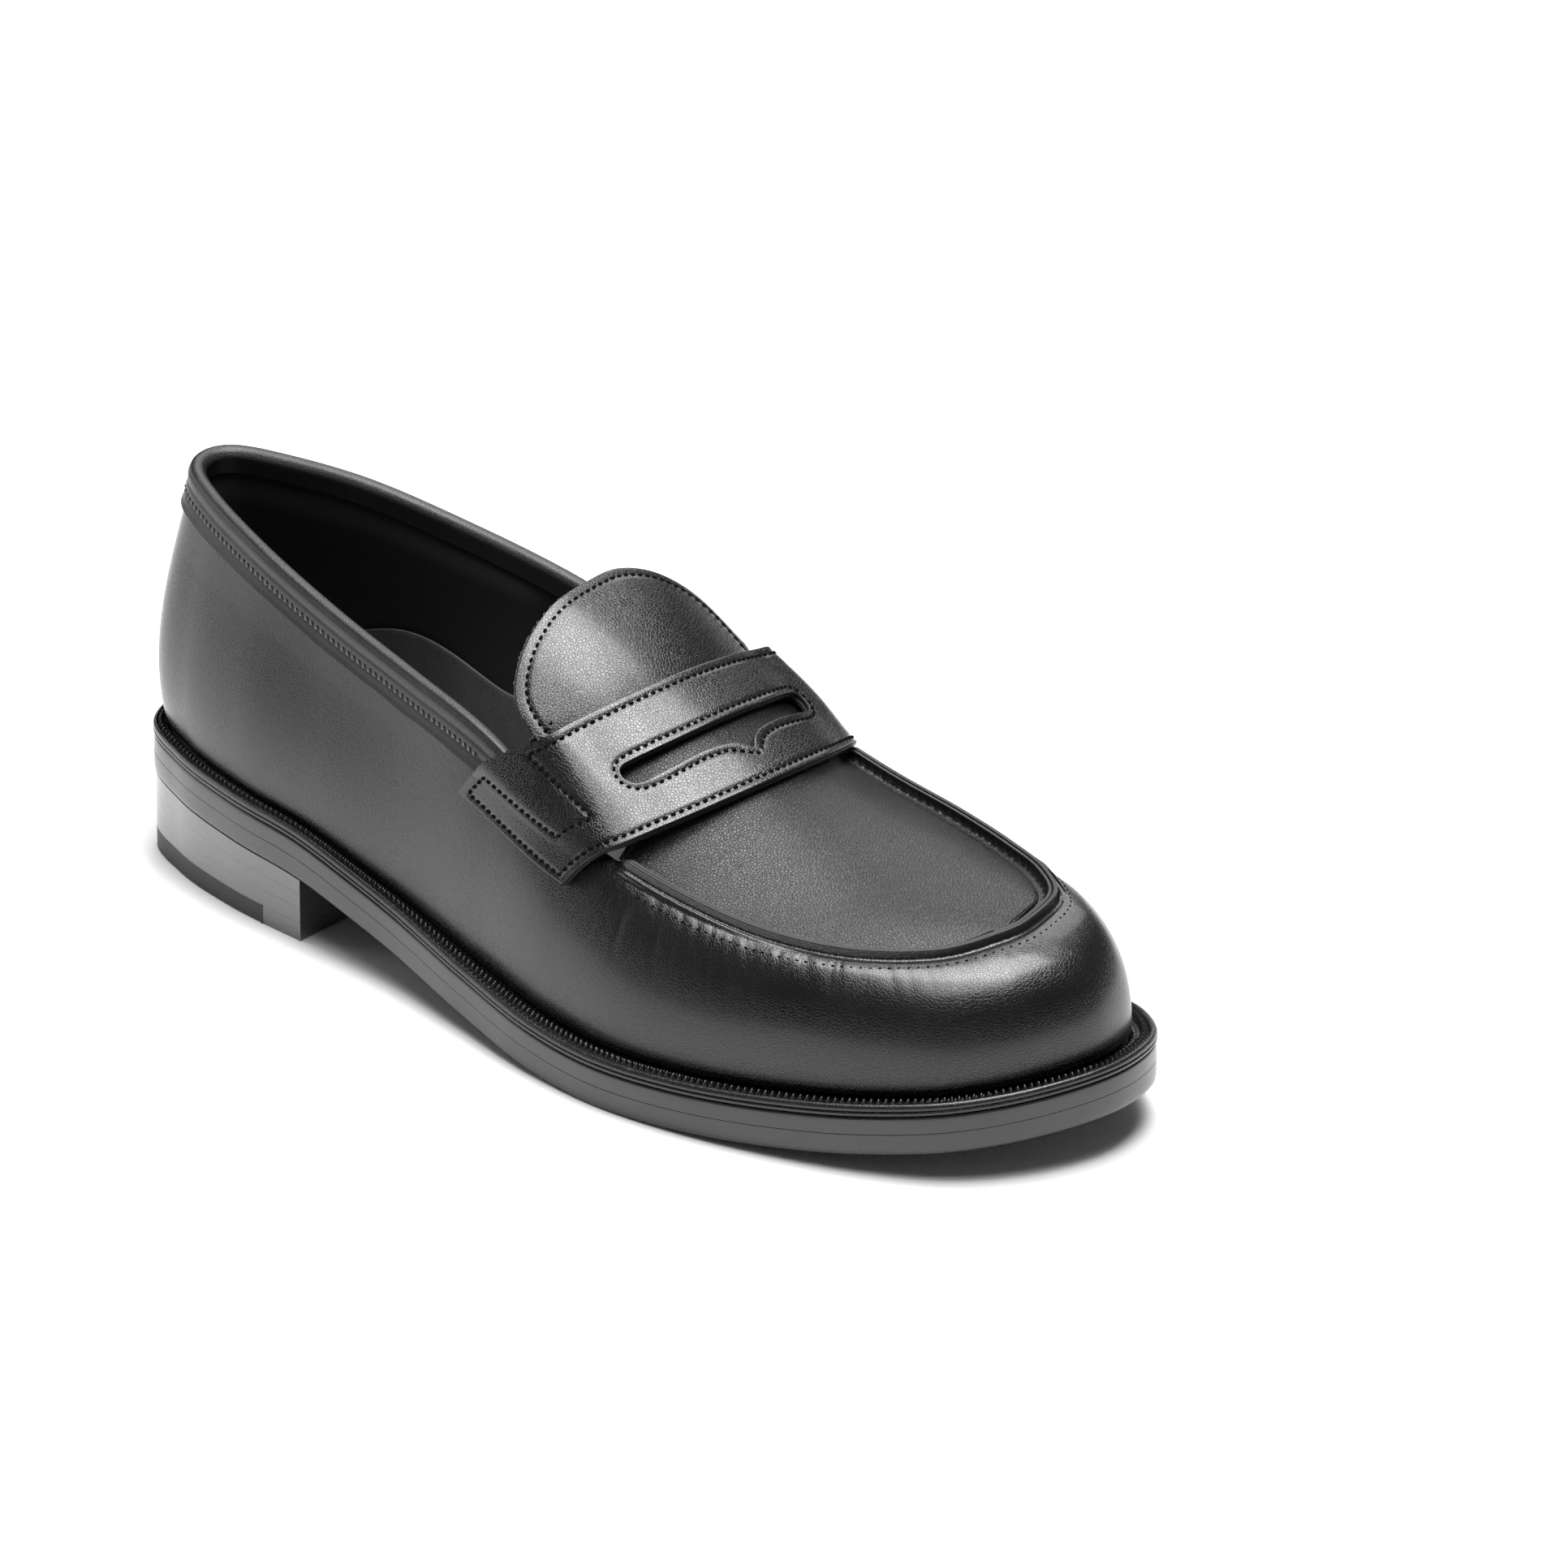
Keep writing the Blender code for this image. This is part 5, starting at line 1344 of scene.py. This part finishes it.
FLAP = {
    "tongue_leather": ("tongue", "strap_leather"),
    "tongue_suede": ("tongue_lining", "suede"),
    "tongue_stitches": ("tongue_stitching", "thread"),
}
HIDDEN = {"cork_filler": "cork", "shank": "steel", "insole": "board", "insole_rib": "canvas",
          "heel_counter": "stiffener", "toe_puff": "stiffener"}
HIDDEN.update({f"heel_nail_{k}": "steel" for k in (1, 2, 3, 4)})


def join_frame():
    """Pieces of the shoe join its body, the tongue's pieces keep their place in the world, and each takes the
    place of its CAD node.
    """
    for name, (node, slot) in STANDS_FOR.items():
        ob = bpy.data.objects[name]
        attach(ob, "shoe")
        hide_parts(node)
    for name, (node, slot) in FLAP.items():
        ob = bpy.data.objects[name]
        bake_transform(ob)
        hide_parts(node)
    for node, look in HIDDEN.items():
        ob = frame["nodes"][node]
        for slot in ob.material_slots:
            slot.material = M[look]


# ---------------------------------------------------------------- studio

def light(name, where, towards, size, watts):
    """Rectangular softbox."""
    data = bpy.data.lights.new(name, "AREA")
    data.shape = "RECTANGLE"
    data.size, data.size_y = size
    data.energy = watts
    ob = bpy.data.objects.new(name, data)
    bpy.context.scene.collection.objects.link(ob)
    ob.location = where
    ob.rotation_euler = (Vector(towards) - Vector(where)).to_track_quat("-Z", "Y").to_euler()


def studio():
    """White floor and sky with four softboxes."""
    size = 8.0      # half the floor's width, m
    me = bpy.data.meshes.new("floor")
    corners = [(-size, -size, 0), (size, -size, 0), (size, size, 0), (-size, size, 0)]
    me.from_pydata(corners, [], [(0, 1, 2, 3)])
    floor = bpy.data.objects.new("floor", me)
    bpy.context.scene.collection.objects.link(floor)
    look = Look("paper_white")
    look.colour(look.noise(6.0), (0.88, 0.88, 0.88, 1), (0.9, 0.9, 0.9, 1))
    look.set(Roughness=0.9, Specular_IOR_Level=0.1)
    me.materials.append(look.mat)
    sky = bpy.data.worlds.new("studio")
    bpy.context.scene.world = sky
    sky.use_nodes = True
    sky.node_tree.nodes["Background"].inputs["Color"].default_value = (0.95, 0.97, 1.0, 1)
    sky.node_tree.nodes["Background"].inputs["Strength"].default_value = 0.12
    light("softbox_core", (-0.20, -0.24, 1.50), (0, 0, 0.03), (0.9, 0.9), 12)
    light("softbox_zenith", (0.26, 0.02, 1.53), (0.05, 0, 0), (1.25, 0.8), 36)
    light("far_panel", (1.15, 0.69, 0.95), (0, 0, 0.03), (0.8, 0.8), 5.5)
    light("rear_panel", (-0.53, 1.46, 0.42), (0, 0, 0.03), (0.7, 0.6), 3.0)


AZIMUTH, ELEVATION, ROLL = 41.02, 24.52, -0.36
DISTANCE, FOCAL = 3.413, 324.7
AIM = (0.00538, 0.0, 0.040)
PAN, TILT = 0.613, 0.200   # degrees the camera looks right of and above its aim, as the photo is framed


def camera():
    """View of the photograph: a long lens from the outer side, ahead of and above the shoe."""
    az, el = math.radians(AZIMUTH), math.radians(ELEVATION)
    back = Vector((-math.cos(az) * math.cos(el), -math.sin(az) * math.cos(el), math.sin(el)))
    cam = bpy.data.cameras.new("view")
    cam.lens, cam.sensor_width = FOCAL, 36.0
    cam.clip_start, cam.clip_end = 0.1, 50.0
    ob = bpy.data.objects.new("view", cam)
    bpy.context.scene.collection.objects.link(ob)
    turn = back.to_track_quat("Z", "Y").to_matrix() @ Matrix.Rotation(math.radians(ROLL), 3, "Z")
    turn = turn @ Matrix.Rotation(-math.radians(PAN), 3, "Y") @ Matrix.Rotation(math.radians(TILT), 3, "X")
    ob.matrix_world = Matrix.Translation(Vector(AIM) + back * DISTANCE) @ turn.to_4x4()
    bpy.context.scene.camera = ob


def main():
    upper_wall()
    binding()
    apron()
    seam_threads()
    strap()
    tongue()
    linings()
    apron_lining()
    heel_cup()
    footbed()
    welt()
    bottom()
    heel()
    join_frame()
    studio()
    camera()
    view = bpy.context.scene.view_settings
    view.view_transform = "Standard"
    view.look = "None"


main()
